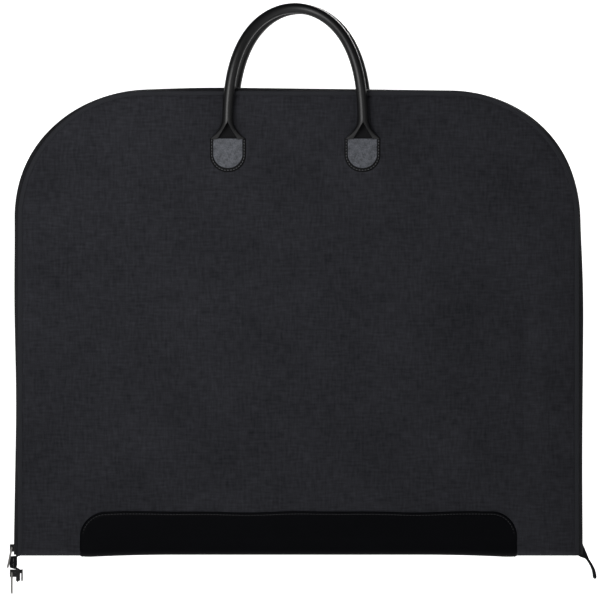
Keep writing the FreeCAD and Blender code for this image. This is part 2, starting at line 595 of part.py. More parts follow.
def make_hanger_tab():
    """Leather tab under the top of the rear tray, with a metal eyelet for a hanger's hook."""
    roof = "(Sizes.bagHeight - %s)" % INNER_INSET
    far = "(Sizes.hangerTabDepth + Sizes.hangerTabThickness)"
    centre = "(Sizes.hangerTabLength - Sizes.eyeletHeight)"
    barrel = "(Sizes.eyeletRadius + Sizes.eyeletWall)"
    body, sketch = hanging_plate("hanger_tab", "0", far, "%s + %s" % (FOLD_Z, roof),
                                 "Sizes.hangerTabThickness", "Sizes.hangerTabWidth",
                                 "Sizes.hangerTabLength", "Sizes.hangerTabCorner")
    circle(sketch, "eyelet", barrel, centre)
    flange_depth = "(%s - %s - Sizes.hangerFlangeGap)" % (LINING_INSIDE, far)
    flange = new_sketch(body, "flange", "XZ_Plane", z="-" + flange_depth)
    polygon(flange, [("-Sizes.hangerTabWidth / 2", "0"), ("Sizes.hangerTabWidth / 2", "0"),
                     ("Sizes.hangerTabWidth / 2", "Sizes.hangerTabThickness"),
                     ("-Sizes.hangerTabWidth / 2", "Sizes.hangerTabThickness")])
    pad(body, flange, flange_depth)
    rim = "Sizes.eyeletFlangeThickness"
    z = "%s + %s - %s" % (FOLD_Z, roof, centre)
    front = "(Sizes.hangerTabDepth - %s)" % rim
    length = "(Sizes.hangerTabThickness + 2 * %s)" % rim
    pieces = [
        cross_cylinder("eyelet_front_rim", "Sizes.eyeletFlange", rim, "0", front, z),
        cross_cylinder("eyelet_rear_rim", "Sizes.eyeletFlange", rim, "0", far, z),
        cross_cylinder("eyelet_barrel", barrel, length, "0", front, z),
    ]
    bore = cross_cylinder("eyelet_bore", "Sizes.eyeletRadius", "3 * " + length, "0",
                          "%s - %s" % (front, length), z)
    sub_parts.append(cut("hanger_eyelet", fuse("eyelet_solid", pieces), bore))


HANDLE_PLACES = (("front", "-Sizes.handleOffset"), ("rear", "Sizes.rearHandleOffset"))

for tray_side, handle_place in HANDLE_PLACES:
    make_tray(tray_side)
    make_tabs(tray_side, handle_place)
    make_handle(tray_side, handle_place)
make_base()
make_slider("upper_slider", "Sizes.upperSlider")
make_slider("lower_slider", "Sizes.lowerSlider")
make_puller("upper_puller", "Sizes.upperSlider", "Sizes.upperLean")
make_puller("lower_puller", "Sizes.lowerSlider", "0")
make_left_tail()
make_right_tail()
make_hanger_tab()
document.recompute()


def check_document():
    """Stop if any object failed or any sub-part is empty or broken."""
    for item in document.Objects:
        if "Invalid" in item.State or "Error" in item.State:
            raise RuntimeError("%s did not compute: %s" % (item.Label, item.State))
    for piece in sub_parts:
        if piece.Shape.isNull() or not piece.Shape.isValid() or not piece.Shape.Solids:
            raise RuntimeError("%s has no valid solid" % piece.Label)


def write_parts():
    os.makedirs("parts", exist_ok=True)
    for piece in sub_parts:
        piece.Shape.exportStep("parts/%s.step" % piece.Label)


check_document()
write_parts()
print("wrote %d sub-parts" % len(sub_parts))
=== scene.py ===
import json
import math
import bmesh
import bpy
import numpy as np
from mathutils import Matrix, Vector


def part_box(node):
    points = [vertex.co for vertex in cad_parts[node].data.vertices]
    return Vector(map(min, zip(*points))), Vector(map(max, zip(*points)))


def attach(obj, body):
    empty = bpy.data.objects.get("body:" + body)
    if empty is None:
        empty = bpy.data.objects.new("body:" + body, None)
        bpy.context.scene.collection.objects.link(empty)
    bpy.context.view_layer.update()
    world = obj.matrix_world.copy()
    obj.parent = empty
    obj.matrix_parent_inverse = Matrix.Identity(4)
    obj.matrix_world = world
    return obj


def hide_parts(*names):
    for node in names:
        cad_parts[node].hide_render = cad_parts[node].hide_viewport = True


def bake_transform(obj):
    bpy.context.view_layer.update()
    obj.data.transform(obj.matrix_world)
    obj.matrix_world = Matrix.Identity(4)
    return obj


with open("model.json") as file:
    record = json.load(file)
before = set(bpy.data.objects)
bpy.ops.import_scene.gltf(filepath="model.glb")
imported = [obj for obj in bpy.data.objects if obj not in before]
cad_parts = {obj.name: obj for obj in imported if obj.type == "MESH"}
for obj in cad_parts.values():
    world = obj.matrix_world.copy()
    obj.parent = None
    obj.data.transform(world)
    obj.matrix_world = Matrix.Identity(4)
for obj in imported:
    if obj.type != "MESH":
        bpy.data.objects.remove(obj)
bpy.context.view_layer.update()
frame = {"nodes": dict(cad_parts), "record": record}
pi = math.pi

# places taken from the frame
coilLow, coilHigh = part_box("front_zip_coil")
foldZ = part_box("base_panel")[0].z       # height of the fold
mm = 0.001
sides = {"front": -1, "rear": 1}        # which way each face looks along y

bag = {
    "halfWidth": coilHigh.x,            # over the zip coils
    "height": coilHigh.z - foldZ,
    "corner": 0.138,                    # outline radius of the top corners
    "halfDepth": -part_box("front_panel")[0].y,
    "bindingInset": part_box("front_binding")[0].x - coilLow.x,
    "panelInset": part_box("front_panel")[0].x - coilLow.x,
}
print("frame read, fold at", round(foldZ, 4))


# material maths
class Wire:
    # one socket of a material; Python's operators add Math nodes to it
    def __init__(self, tree, socket=None):
        self.tree = tree
        self.socket = socket

    def node(self, kind, settings=None, inputs=None, output=0):
        made = self.tree.nodes.new("ShaderNode" + kind)
        for name, value in (settings or {}).items():
            if name == "stops":
                while len(made.color_ramp.elements) < len(value):
                    made.color_ramp.elements.new(0.5)
                for element, (place, colour) in zip(made.color_ramp.elements, value):
                    element.position = place
                    element.color = (*colour, 1)
            else:
                setattr(made, name, value)
        for name, value in (inputs or {}).items():
            if isinstance(value, Wire):
                self.tree.links.new(value.socket, made.inputs[name])
            else:
                made.inputs[name].default_value = value
        return Wire(self.tree, made.outputs[output])

    def math(self, operation, *values):
        return self.node("Math", {"operation": operation}, dict(enumerate(values)))

    def __add__(self, other):
        return self.math("ADD", self, other)

    def __mul__(self, other):
        return self.math("MULTIPLY", self, other)

    def __sub__(self, other):
        return self.math("SUBTRACT", self, other)

    def __rsub__(self, other):
        return self.math("SUBTRACT", other, self)

    def __abs__(self):
        return self.math("ABSOLUTE", self)

    __radd__ = __add__
    __rmul__ = __mul__

    def sine(self):
        return self.math("SINE", self)

    def largest(self, other):
        return self.math("MAXIMUM", self, other)

    def limited(self, low=0.0, high=1.0):
        return self.math("MINIMUM", self.math("MAXIMUM", self, low), high)

    def between(self, first, second):
        # colour that goes from the first to the second as this value goes from 0 to 1
        return self.node("Mix", {"data_type": "RGBA"},
                         {0: self, 6: colourOf(first), 7: colourOf(second)}, output=2)


def colourOf(value):
    return value if isinstance(value, Wire) else (*value, 1)


def noise(wire, place, scale, detail=3.0, roughness=0.55):
    return wire.node("TexNoise", {}, {"Vector": place, "Scale": scale, "Detail": detail,
                                      "Roughness": roughness})


def stretched(wire, place, factors):
    return wire.node("Mapping", {}, {"Vector": place, "Scale": factors})


def finish(name, pattern, onSurface=True, **constants):
    # a material whose pattern function gives colour, roughness, height and perhaps a coat from a place
    material = bpy.data.materials.new(name)
    material.use_nodes = True
    tree = material.node_tree
    shader = tree.nodes["Principled BSDF"]
    for socket, value in constants.items():
        shader.inputs[socket.replace("_", " ")].default_value = value
    start = Wire(tree)
    if onSurface:
        place = start.node("UVMap", {"uv_map": "surface"})
    else:
        place = start.node("TexCoord", output=3)
    parts = [place.node("SeparateXYZ", {}, {0: place}, output=axis) for axis in range(3)]
    colour, roughness, height, depth, *coat = pattern(place, *parts)
    for weight in coat:
        tree.links.new(weight.socket, shader.inputs["Coat Weight"])
    tree.links.new(colour.socket, shader.inputs["Base Color"])
    if isinstance(roughness, Wire):
        tree.links.new(roughness.socket, shader.inputs["Roughness"])
    else:
        shader.inputs["Roughness"].default_value = roughness
    bump = place.node("Bump", {}, {"Height": height, "Distance": depth, "Strength": 1.0})
    tree.links.new(bump.socket, shader.inputs["Normal"])
    return material


# Plain weave: two sets of sine ridges, and the sign of their product says which is on top.
def plainWeave(u, v, pitch):
    warp = (u * (pi / pitch)).sine()
    weft = (v * (pi / pitch)).sine()
    over = (warp * weft * 3.0).limited(-1, 1) * 0.5
    return (abs(warp) * (over + 0.5)).largest(abs(weft) * (0.5 - over))


# gussetPaintedShade is the share of the shell cloth's colour kept on the gussets: a painted shade, not a dye
shellLook = {"pitch": 0.85 * mm, "dark": (0.0070, 0.0073, 0.0088), "light": (0.0330, 0.0336, 0.0400),
             "slub": 0.85, "cloud": 0.55, "gussetPaintedShade": 0.5}


def shellPattern(place, u, v, w):
    threads = plainWeave(u, v, shellLook["pitch"])
    upSlub = noise(place, stretched(place, place, (430, 75, 1)), 1.0, 2.0)
    crossSlub = noise(place, stretched(place, place, (75, 430, 1)), 1.0, 2.0)
    cloud = noise(place, place, 14.0, 3.0)
    shade = (threads * 0.35 + (upSlub + crossSlub - 1.0) * shellLook["slub"]
             + (cloud - 0.5) * shellLook["cloud"] + 0.30)
    colour = shade.limited().between(shellLook["dark"], shellLook["light"])
    return colour, 0.92 - threads * 0.14, threads + upSlub + crossSlub, 0.22 * mm


def gussetPaintedShadePattern(place, u, v, w):
    # the same cloth, with its colour scaled down on the narrow sides as painted shade
    colour, roughness, height, depth = shellPattern(place, u, v, w)
    darker = colour.node("VectorMath", {"operation": "SCALE"}, {0: colour, "Scale": shellLook["gussetPaintedShade"]})
    return darker, roughness, height, depth


def bindingPattern(place, u, v, w):
    rib = abs((u * (pi / (1.1 * mm))).sine())
    fray = noise(place, stretched(place, place, (500, 1800, 1)), 1.0)
    shade = rib * 0.55 + fray * 0.45
    return shade.between((0.006, 0.0063, 0.0075), (0.029, 0.030, 0.035)), 0.80 - rib * 0.1, rib, 0.2 * mm


def liningPattern(place, u, v, w):
    twill = abs(((u + v) * (pi / (0.7 * mm))).sine())
    moire = noise(place, stretched(place, place, (30, 220, 1)), 1.0)
    shade = twill * 0.35 + moire * 0.5
    return shade.between((0.028, 0.029, 0.033), (0.085, 0.086, 0.094)), 0.50 + moire * 0.16, twill, 0.06 * mm


def foamPattern(place, x, y, z):
    cells = place.node("TexVoronoi", {}, {"Vector": place, "Scale": 900.0})
    return cells.limited().between((0.16, 0.16, 0.16), (0.07, 0.07, 0.07)), 0.9, cells, 0.4 * mm


def tapePattern(place, u, v, w):
    # herringbone: the twill's slant turns round with each rib across the tape
    slant = abs((v * (pi / (1.6 * mm))).sine()) * (1.6 * mm)
    rib = abs(((u + slant) * (pi / (0.8 * mm))).sine())
    fray = noise(place, place, 1500.0)
    shade = rib * 0.6 + fray * 0.4
    return shade.between((0.0045, 0.0046, 0.005), (0.022, 0.022, 0.0245)), 0.82, rib, 0.12 * mm


def coilPattern(place, u, v, w):
    scuff = noise(place, place, 260.0)
    return scuff.between((0.004, 0.004, 0.005), (0.012, 0.012, 0.014)), 0.45 + scuff * 0.2, scuff, 0.02 * mm


def lacquerPattern(place, x, y, z):
    wear = (noise(place, place, 420.0) - 0.60) * 9.0
    colour = wear.limited().between((0.005, 0.005, 0.006), (0.09, 0.088, 0.085))
    return colour, 0.42, wear.limited(), 0.01 * mm


def nickelPattern(place, x, y, z):
    brushed = noise(place, stretched(place, place, (3200, 3200, 90)), 1.0)
    colour = brushed.between((0.16, 0.155, 0.15), (0.30, 0.295, 0.285))
    return colour, brushed * 0.16 + 0.26, brushed, 0.01 * mm


def grain(place, scale):
    # leather grain: rounded pebbles with fine creases between them
    return place.node("TexVoronoi", {"feature": "SMOOTH_F1"},
                      {"Vector": place, "Scale": scale, "Smoothness": 0.35})


def patchPattern(place, u, v, w):
    pebbles = grain(place, 1150.0)
    cloud = noise(place, place, 22.0, 4.0)
    colour = cloud.between((0.0006, 0.0007, 0.0011), (0.0014, 0.0016, 0.0025))
    return colour, 0.44 + cloud * 0.16, pebbles + cloud, 0.05 * mm


def fieldPattern(place, u, v, w):
    pebbles = grain(place, 720.0)
    cloud = noise(place, place, 160.0)
    shade = pebbles * 0.65 + (cloud - 0.5) * 1.5 + 0.22
    colour = shade.limited().between((0.100, 0.106, 0.124), (0.022, 0.024, 0.029))
    return colour, cloud * 0.1 + 0.46, 1 - pebbles, 0.22 * mm


def handlePattern(place, u, v, w):
    # the flesh side of the roll has its u moved on by a metre, and is dull
    inside = ((u - 0.5) * 50.0).limited()
    pores = grain(place, 1400.0)
    creases = noise(place, stretched(place, place, (60, 700, 1)), 1.0)
    colour = creases.between((0.0012, 0.0013, 0.0016), (0.0045, 0.0046, 0.0054))
    roughness = (0.40 + creases * 0.16) * (1 - inside) + inside * 0.95
    return colour, roughness, pores * 0.5 + creases, 0.035 * mm, (0.22 + creases * 0.14) * (1 - inside)


def edgePattern(place, u, v, w):
    pebbles = grain(place, 1300.0)
    return pebbles.between((0.0035, 0.0036, 0.0042), (0.0012, 0.0012, 0.0016)), 0.6, pebbles, 0.04 * mm


def suedePattern(place, x, y, z):
    nap = noise(place, place, 1900.0, 4.0)
    return nap.between((0.014, 0.014, 0.015), (0.050, 0.049, 0.050)), 0.88, nap, 0.15 * mm


def ropePattern(place, u, v, w):
    yarn = abs(((u + v * 0.6) * (pi / (0.7 * mm))).sine())
    return yarn.between((0.34, 0.29, 0.22), (0.62, 0.56, 0.46)), 0.85, yarn, 0.1 * mm


def elasticPattern(place, u, v, w):
    cord = abs((v * (pi / (1.7 * mm))).sine())
    knit = abs((u * (pi / (0.9 * mm))).sine())
    shade = cord * 0.6 + knit * 0.4
    return shade.between((0.006, 0.006, 0.007), (0.030, 0.030, 0.033)), 0.80, cord + knit * 0.4, 0.25 * mm


def twisted(dark, light, roughness):
    # thread: sine ridges on a slant
    def pattern(place, u, v, w):
        ply = abs(((u + v) * (pi / (0.45 * mm))).sine())
        return ply.between(dark, light), roughness, ply, 0.05 * mm

    return pattern


cloth = {"Sheen_Weight": 0.02, "Sheen_Roughness": 0.5, "Specular_IOR_Level": 0.08}
looks = {
    "shell": finish("shell_cloth", shellPattern, **cloth),
    # the gusset look is the shell cloth darkened as painted shade
    "gusset": finish("gusset_cloth_painted_shade", gussetPaintedShadePattern, **cloth),
    "binding": finish("binding_grosgrain", bindingPattern, **cloth),
    "lining": finish("lining_twill", liningPattern, Specular_IOR_Level=0.4),
    "foam": finish("stiffener_foam", foamPattern, onSurface=False),
    "tape": finish("zip_herringbone", tapePattern, Specular_IOR_Level=0.0),
    "coil": finish("zip_nylon", coilPattern, Specular_IOR_Level=0.15),
    "lacquer": finish("slider_lacquer", lacquerPattern, onSurface=False, Specular_IOR_Level=0.25),
    "nickel": finish("puller_nickel", nickelPattern, onSurface=False, Metallic=1.0),
    "patch": finish("patch_calf", patchPattern, Specular_IOR_Level=0.04),
    "field": finish("tab_grained", fieldPattern, Specular_IOR_Level=0.3),
    "handle": finish("handle_glazed", handlePattern, Specular_IOR_Level=0.25, Coat_Roughness=0.34),
    "edge": finish("tab_edge", edgePattern, Specular_IOR_Level=0.1),
    "suede": finish("backing_suede", suedePattern, onSurface=False, Specular_IOR_Level=0.2),
    "rope": finish("core_cotton", ropePattern, Specular_IOR_Level=0.2),
    "elastic": finish("band_elastic", elasticPattern, Specular_IOR_Level=0.3),
    "thread": finish("tab_thread", twisted((0.030, 0.031, 0.035), (0.085, 0.088, 0.096), 0.6)),
    "darkThread": finish("patch_thread", twisted((0.004, 0.004, 0.005), (0.016, 0.016, 0.019), 0.5)),
}
print("materials made:", len(looks))


# mesh building
def quads(rows, cols, around=False):
    # corner numbers of the cells of a rows x cols grid, and the same in a grid one column wider
    row, col = np.meshgrid(np.arange(rows - 1), np.arange(cols if around else cols - 1), indexing="ij")
    row, col = row.ravel(), col.ravel()
    wide = cols + 1 if around else cols
    corners = [(row, col), (row, col + 1), (row + 1, col + 1), (row + 1, col)]
    faces = np.stack([r * cols + c % cols for r, c in corners], axis=1)
    marks = np.stack([r * wide + c for r, c in corners], axis=1)
    return faces, marks


def outwardFaces(points, faces):
    # the signed volume over the quads tells whether the faces point out
    a, b, c, d = (points[faces[:, i]] for i in range(4))
    volume = np.einsum("ij,ij->i", a, np.cross(b, c)) + np.einsum("ij,ij->i", a, np.cross(c, d))
    return faces if volume.sum() > 0 else faces[:, ::-1]


def addPiece(name, points, faces, uv, look, slot, replaces=(), body=None, sharp=55):
    # faces are rows of corner numbers; uv has one row of u, v for each face corner in order
    mesh = bpy.data.meshes.new(name)
    faces = np.asarray(faces)
    mesh.vertices.add(len(points))
    mesh.vertices.foreach_set("co", np.asarray(points, np.float32).ravel())
    count, size = faces.shape
    mesh.loops.add(count * size)
    mesh.loops.foreach_set("vertex_index", faces.astype(np.int32).ravel())
    mesh.polygons.add(count)
    mesh.polygons.foreach_set("loop_start", np.arange(0, count * size, size, dtype=np.int32))
    mesh.update(calc_edges=True)
    layer = mesh.uv_layers.new(name="surface")
    layer.data.foreach_set("uv", np.asarray(uv, np.float32).ravel())
    mesh.polygons.foreach_set("use_smooth", np.ones(count, bool))
    mesh.validate()
    mesh.set_sharp_from_angle(angle=math.radians(sharp))
    mesh.materials.append(looks[look])
    piece = bpy.data.objects.new(name, mesh)
    bpy.context.scene.collection.objects.link(piece)
    if body:
        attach(piece, body)
    if replaces:
        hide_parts(*replaces)
    return piece


def sheetSolid(outer, inner, uv, innerUv=None):
    # closed solid between two grids of the same shape, with a strip round the rim
    rows, cols = outer.shape[:2]
    faces, marks = quads(rows, cols)
    count = rows * cols
    index = np.arange(count).reshape(rows, cols)
    rim = np.concatenate([index[0, :-1], index[:-1, -1], index[-1, :0:-1], index[:0:-1, 0]])
    after = np.roll(rim, -1)
    strip = np.stack([rim, rim + count, after + count, after], axis=1)
    points = np.concatenate([outer.reshape(-1, 3), inner.reshape(-1, 3)])
    allFaces = np.concatenate([faces, faces[:, ::-1] + count, strip])
    flatUv = uv.reshape(-1, 2)
    allUv = np.concatenate([flatUv, flatUv if innerUv is None else innerUv.reshape(-1, 2)])
    allFaces = outwardFaces(points, allFaces)
    return points, allFaces, allUv[allFaces]


def joined(solids):
    # several solids as one, each one's faces moved on by the points before it
    points, faces, marks = zip(*solids)
    starts = np.cumsum([0] + [len(part) for part in points[:-1]])
    return (np.concatenate(points), np.concatenate([part + start for part, start in zip(faces, starts)]),
            np.concatenate(marks))


def spread(*parts):
    # arrays broadcast to one grid and stacked as its columns
    return np.stack(np.broadcast_arrays(*parts), axis=2)


def unit(values):
    # held between 0 and 1
    return np.clip(values, 0, 1)


def tubeSolid(rings, uv):
    # closed bar through rings of points; its ends are drawn together on their middles
    rings = np.concatenate([rings[:1] * 0 + rings[0].mean(axis=0), rings,
                            rings[:1] * 0 + rings[-1].mean(axis=0)])
    uv = np.concatenate([uv[:1], uv, uv[-1:]])
    rows, cols = rings.shape[:2]
    faces, marks = quads(rows, cols, around=True)
    points = rings.reshape(-1, 3)
    right = outwardFaces(points, faces)
    if right is not faces:
        marks = marks[:, ::-1]
    return points, right, uv.reshape(-1, 2)[marks]


def mergedCaps(piece):
    # joins the points that lie on each other at the ends of a bar
    work = bmesh.new()
    work.from_mesh(piece.data)
    bmesh.ops.remove_doubles(work, verts=work.verts, dist=1e-7)
    work.to_mesh(piece.data)
    work.free()
    return piece


def scattered(template, faces, places, along, across, up):
    # copies of a small shape: template columns go along, across and up at each place
    points = (places[:, None] + template[None, :, 0:1] * along[:, None]
              + template[None, :, 1:2] * across[:, None] + template[None, :, 2:3] * up[:, None])
    count, size = points.shape[:2]
    allFaces = (faces[None] + (np.arange(count) * size)[:, None, None]).reshape(-1, 4)
    uv = np.tile(template[:, :2], (count, 1))
    points = points.reshape(-1, 3)
    allFaces = outwardFaces(points, allFaces)
    return points, allFaces, uv[allFaces]


def grainOfRice(length, width, height):
    # stitch: rings of six points whose radius follows the root of a half circle
    place = np.linspace(-1, 1, 5)
    radius = np.sqrt(1.04 - place ** 2)
    angle = np.linspace(0, 2 * pi, 6, endpoint=False)
    x = np.repeat(place * length / 2, 6)
    y = (radius[:, None] * np.cos(angle)).ravel() * width / 2
    z = (radius[:, None] * np.sin(angle)).ravel() * height / 2
    faces = quads(5, 6, around=True)[0]
    lids = np.array([[0, 1, 2, 3], [3, 4, 5, 0], [27, 26, 25, 24], [24, 29, 28, 27]])
    return np.stack([x, y, z], axis=1), np.concatenate([faces, lids])


def superellipse(count, power):
    # round a section: a power of the cosine and of the sine, each with its own sign
    angle = np.linspace(0, 2 * pi, count, endpoint=False)
    around = np.stack([np.cos(angle), np.sin(angle)])
    return np.sign(around) * abs(around) ** power


def addStitches(name, size, places, along, across, up, look, slot, body):
    # one grain of thread at each place
    shape, faces = grainOfRice(*size)
    addPiece(name, *scattered(shape, faces, places, along, across, up), look, slot, body=body)


# the bag's outline
def walkOutline(half, top, radius, foot, places):
    # up one side of a plate, over its two round corners and top, and down the other side, at the
    # places that a function gives for the whole length; the way, x, z and the angle turned so far
    side, arc, roof = top - radius - foot, pi / 2 * radius, 2 * (half - radius)
    way = places(2 * side + 2 * arc + roof)
    first = unit((way - side) / arc) * pi / 2
    second = unit((way - side - arc - roof) / arc) * pi / 2
    x = (-half + radius * (1 - np.cos(first)) + np.clip(way - side - arc, 0, roof)
         + radius * np.sin(second))
    z = (foot + np.minimum(way, side) + radius * np.sin(first) - radius * (1 - np.cos(second))
         - np.clip(way - side - 2 * arc - roof, 0, side))
    return way, x, z, first + second


def archPath(inset, foot, spacing):
    # the bag's outline in even steps, with its outward direction
    half, top, radius = (bag[size] - inset for size in ("halfWidth", "height", "corner"))
    way, x, z, turned = walkOutline(half, top, radius, foot,
                                    lambda length: np.linspace(0, length, int(length / spacing) + 1))
    return way, x, z, -np.cos(turned), np.sin(turned)


def alongArch(inset, foot, spacing, out, y):
    # profile points out (away from the bag) and y, carried along the outline
    way, x, z, outX, outZ = archPath(inset, foot, spacing)
    out = np.broadcast_to(out, (len(way), np.shape(out)[-1]))
    y = np.broadcast_to(y, out.shape)
    return way, np.stack([x[:, None] + out * outX[:, None], y,
                          foldZ + z[:, None] + out * outZ[:, None]], axis=2)


def archRows(half, top, radius, foot, arcRows, sideRows):
    # half width and height of each row of a plate with two round corners at its top
    angle = np.linspace(pi / 2, 0, arcRows)
    down = np.linspace(top - radius, foot, sideRows + 1)[1:]
    wide = np.concatenate([half - radius + radius * np.cos(angle), np.full(sideRows, half)])
    return wide, np.concatenate([top - radius + radius * np.sin(angle), down])


def edgeColumns(count, edge, power=2.2):
    # places from -1 to 1, closer together towards both ends by a power law
    place = np.linspace(-1, 1, count)
    return (1 - edge) * place + edge * np.sign(place) * (1 - (1 - abs(place)) ** power)


def edgeDistance(x, z, half, top, radius):
    # distance inside the outline of such a plate; its foot is open
    overX, overZ = abs(x) - (half - radius), z - (top - radius)
    corner = radius - np.hypot(np.maximum(overX, 0), np.maximum(overZ, 0))
    return np.where((overX > 0) & (overZ > 0), corner, np.minimum(half - abs(x), top - z))


# soft shape of the faces
face = {
    "crown": 2.6 * mm,          # how far the middle stands out
    "lift": 0.9 * mm,           # face stands off its stiffener
    "seam": 0.8 * mm,           # depth of the furrow beside the binding
    "seamWidth": 2.2 * mm,
    "bend": 5.0 * mm,           # radius of the lower edge
    "thickness": 1.2 * mm,
    "foldGain": 2.1,
    "sag": 2.2 * mm,            # drop of the lower edge towards its two ends
    "sagStart": 0.13, "sagRun": 0.09,
    "belly": 1.9 * mm,          # swelling of the cloth above the lower corners
    "rows": (56, 82, 10, 8), "columns": 170,
    # folds in the cloth: from x, z to x, z above the fold, half width, height; all in mm
    "folds": {
        "front": ((75, 405, 160, 352, 13, 0.9), (82, 420, 185, 418, 10, 0.5),
                  (66, 400, 118, 300, 15, 0.7), (10, 345, 58, 245, 26, 0.9),
                  (-70, 398, -120, 330, 15, 0.5), (244, 300, 240, 70, 9, -1.1),
                  (262, 300, 256, 90, 12, 0.8), (150, 60, 285, 150, 30, -0.8),
                  (-285, 130, -170, 50, 30, -0.6), (-236, 380, -262, 250, 18, 0.6),
                  (-60, 220, 40, 130, 34, 0.6), (120, 230, 190, 120, 28, 0.7)),
        "rear": ((-80, 400, -150, 330, 14, 0.8), (76, 404, 128, 320, 16, 0.7),
                 (-246, 310, -240, 90, 10, -0.9), (20, 330, -40, 220, 28, 0.8),
                 (160, 60, 280, 140, 30, -0.7), (-130, 180, -30, 110, 30, 0.6)),
    },
}


def softDepth(x, z, side):
    # how far the cloth stands out of its flat face: a crown of two quartic curves, the seam furrow,
    # folds with a bell section that fade towards their ends, and slow sine waves
    half, top = bag["halfWidth"] - bag["panelInset"], bag["height"] - bag["panelInset"]
    inside = edgeDistance(x, z, half, top, bag["corner"] - bag["panelInset"])
    across = 1 - (x / half) ** 4
    upwards = 1 - (2 * z / top - 1) ** 4
    depth = face["crown"] * unit(across) * unit(upwards)
    depth += face["lift"] * unit(inside / 0.02)
    depth -= face["seam"] * np.exp(-(inside / face["seamWidth"]) ** 2)
    for x0, z0, x1, z1, width, height in np.array(face["folds"][side]) * mm:
        ahead = np.array([x1 - x0, z1 - z0])
        run = ((x - x0) * ahead[0] + (z - z0) * ahead[1]) / (ahead @ ahead)
        off = ((x - x0) * ahead[1] - (z - z0) * ahead[0]) / np.hypot(*ahead)
        fade = np.exp(-((run - 0.45) / 0.42) ** 4)
        depth += face["foldGain"] * height * fade * np.exp(-(off / width) ** 2) * unit(z / 0.03)
    beside = 1 / (1 + np.exp(-(abs(x) - 0.235) / 0.012))
    depth += face["belly"] * beside * np.exp(-((z - 0.048) / 0.026) ** 2) * unit(inside / 0.03)
    wave = np.sin(x * 31 + 2 * np.sin(z * 17)) * np.sin(z * 27 + 1.3 * np.sin(x * 19))
    ripple = np.sin(x * 93 + z * 41) * np.sin(z * 77 - x * 29)
    return depth + (0.30 * wave + 0.07 * ripple) * mm * unit(inside / 0.03) * unit(z / 0.02)


def faceDepth(x, height, side):
    # the soft shape, fading out round the lower edge, and the sag, a squared ramp towards the ends
    above = np.maximum(height, 0)
    ends = unit((abs(x) - face["sagStart"]) / face["sagRun"]) ** 2
    sag = face["sag"] * ends * (1 - unit(above / 0.022)) ** 2
    return softDepth(x, above, side) * unit((height + 0.002) / 0.02) + sag


def wrapRound(sign, x, height, inward, bend, depth):
    # height below 0 runs round the lower edge on an arc and then along the spine to the middle
    halfDepth = bag["halfDepth"] - inward
    radius = bend - inward
    start = bend
    arc = pi / 2 * radius
    beyond = np.maximum(start - height, 0)
    turn = unit(beyond / arc) * pi / 2
    flat = np.maximum(beyond - arc, 0)
    y = halfDepth - radius * (1 - np.cos(turn)) - flat
    z = np.where(height > start, height, start - radius * np.sin(turn))
    y = y + depth * np.cos(turn)
    z = z - depth * np.sin(turn)
    return np.stack([x, sign * y, foldZ + z], axis=2)


def spineHeights(bend, inward, arcRows, flatRows):
    # values of height that end at the middle of the spine
    arc = pi / 2 * (bend - inward)
    run = bag["halfDepth"] - bend
    return np.concatenate([bend - np.linspace(0, arc, arcRows + 1)[1:],
                           bend - arc - np.linspace(0, run, flatRows + 1)[1:]])


def wrappedRows(half, top, radius, bend, inward, rows, lowHalf):
    # rows down the face and on round the lower edge to the middle of the spine
    arcRows, sideRows, bendRows, flatRows = rows
    wide, high = archRows(half, top, radius, bend, arcRows, sideRows)
    low = spineHeights(bend, inward, bendRows, flatRows)
    return np.concatenate([wide, np.full(len(low), lowHalf)]), np.concatenate([high, low])


def addWrapped(side, name, nodes, outer, inner, x, height, look, slot):
    # one solid for the cloth of a side, with its transform baked into the mesh; the rear piece stands for the
    # base too
    own, base = nodes
    replaced = (side + "_" + own,) + ((base,) if side == "rear" else ())
    piece = addPiece(side + name, *sheetSolid(outer, inner, np.stack([x, height], axis=2)),
                     look, slot, replaced)
    if side == "front":
        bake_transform(piece)
    else:
        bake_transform(piece)


def makeShell(side):
    # two sheets a cloth's thickness apart, over the soft shape and round the lower edge
    sign = sides[side]
    inset = bag["panelInset"] - 0.9 * mm
    half, top = bag["halfWidth"] - inset, bag["height"] - inset
    wide, high = wrappedRows(half, top, bag["corner"] - inset, face["bend"], 0, face["rows"], half)
    x = wide[:, None] * edgeColumns(face["columns"], 0.25)[None]
    height = np.broadcast_to(high[:, None], x.shape)
    depth = faceDepth(x, height, side)
    outer = wrapRound(sign, x, height, 0, face["bend"], depth)
    inner = wrapRound(sign, x, height, face["thickness"], face["bend"], depth)
    addWrapped(side, "Shell", ("panel", "base_panel"), outer, inner, x, height, "shell", "shell_fabric")


lining = {"inward": 3.1 * mm, "thickness": 0.6 * mm, "bend": 5.0 * mm, "inset": 3.6 * mm,
          "rows": (40, 60, 8, 6), "columns": 90}


def makeLining(side):
    # two sheets inside the shell, with slow waves: a product of sines
    sign = sides[side]
    half, top = bag["halfWidth"] - lining["inset"], bag["height"] - lining["inset"]
    wide, high = wrappedRows(half, top, bag["corner"] - lining["inset"], lining["bend"], lining["inward"],
                             lining["rows"], half - 3 * mm)
    x = wide[:, None] * np.linspace(-1, 1, lining["columns"])[None]
    height = np.broadcast_to(high[:, None], x.shape)
    waves = np.sin(x * 40 + 3 * np.sin(height * 21)) * np.sin(height * 33 + 1)
    depth = 0.12 * mm * waves * unit(height / 0.03)
    outer = wrapRound(sign, x, height, lining["inward"], lining["bend"], depth)
    inner = wrapRound(sign, x, height, lining["inward"] + lining["thickness"], lining["bend"], depth)
    addWrapped(side, "LiningCloth", ("lining", "base_lining"), outer, inner, x, height,
               "lining", "lining_cloth")


patch = {
    "half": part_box("base_patch")[1].x,
    "height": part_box("front_patch_flap")[1].z - foldZ,
    "corner": 27 * mm,
    "thickness": 1.2 * mm,
    "edge": 1.1 * mm,           # rounding of the turned edge
    "stitchInset": 3.0 * mm,
    "stitchPitch": 3.3 * mm, "stitch": (2.5 * mm, 0.62 * mm, 0.5 * mm),
    "rows": (34, 12, 10, 8), "columns": 190,
}


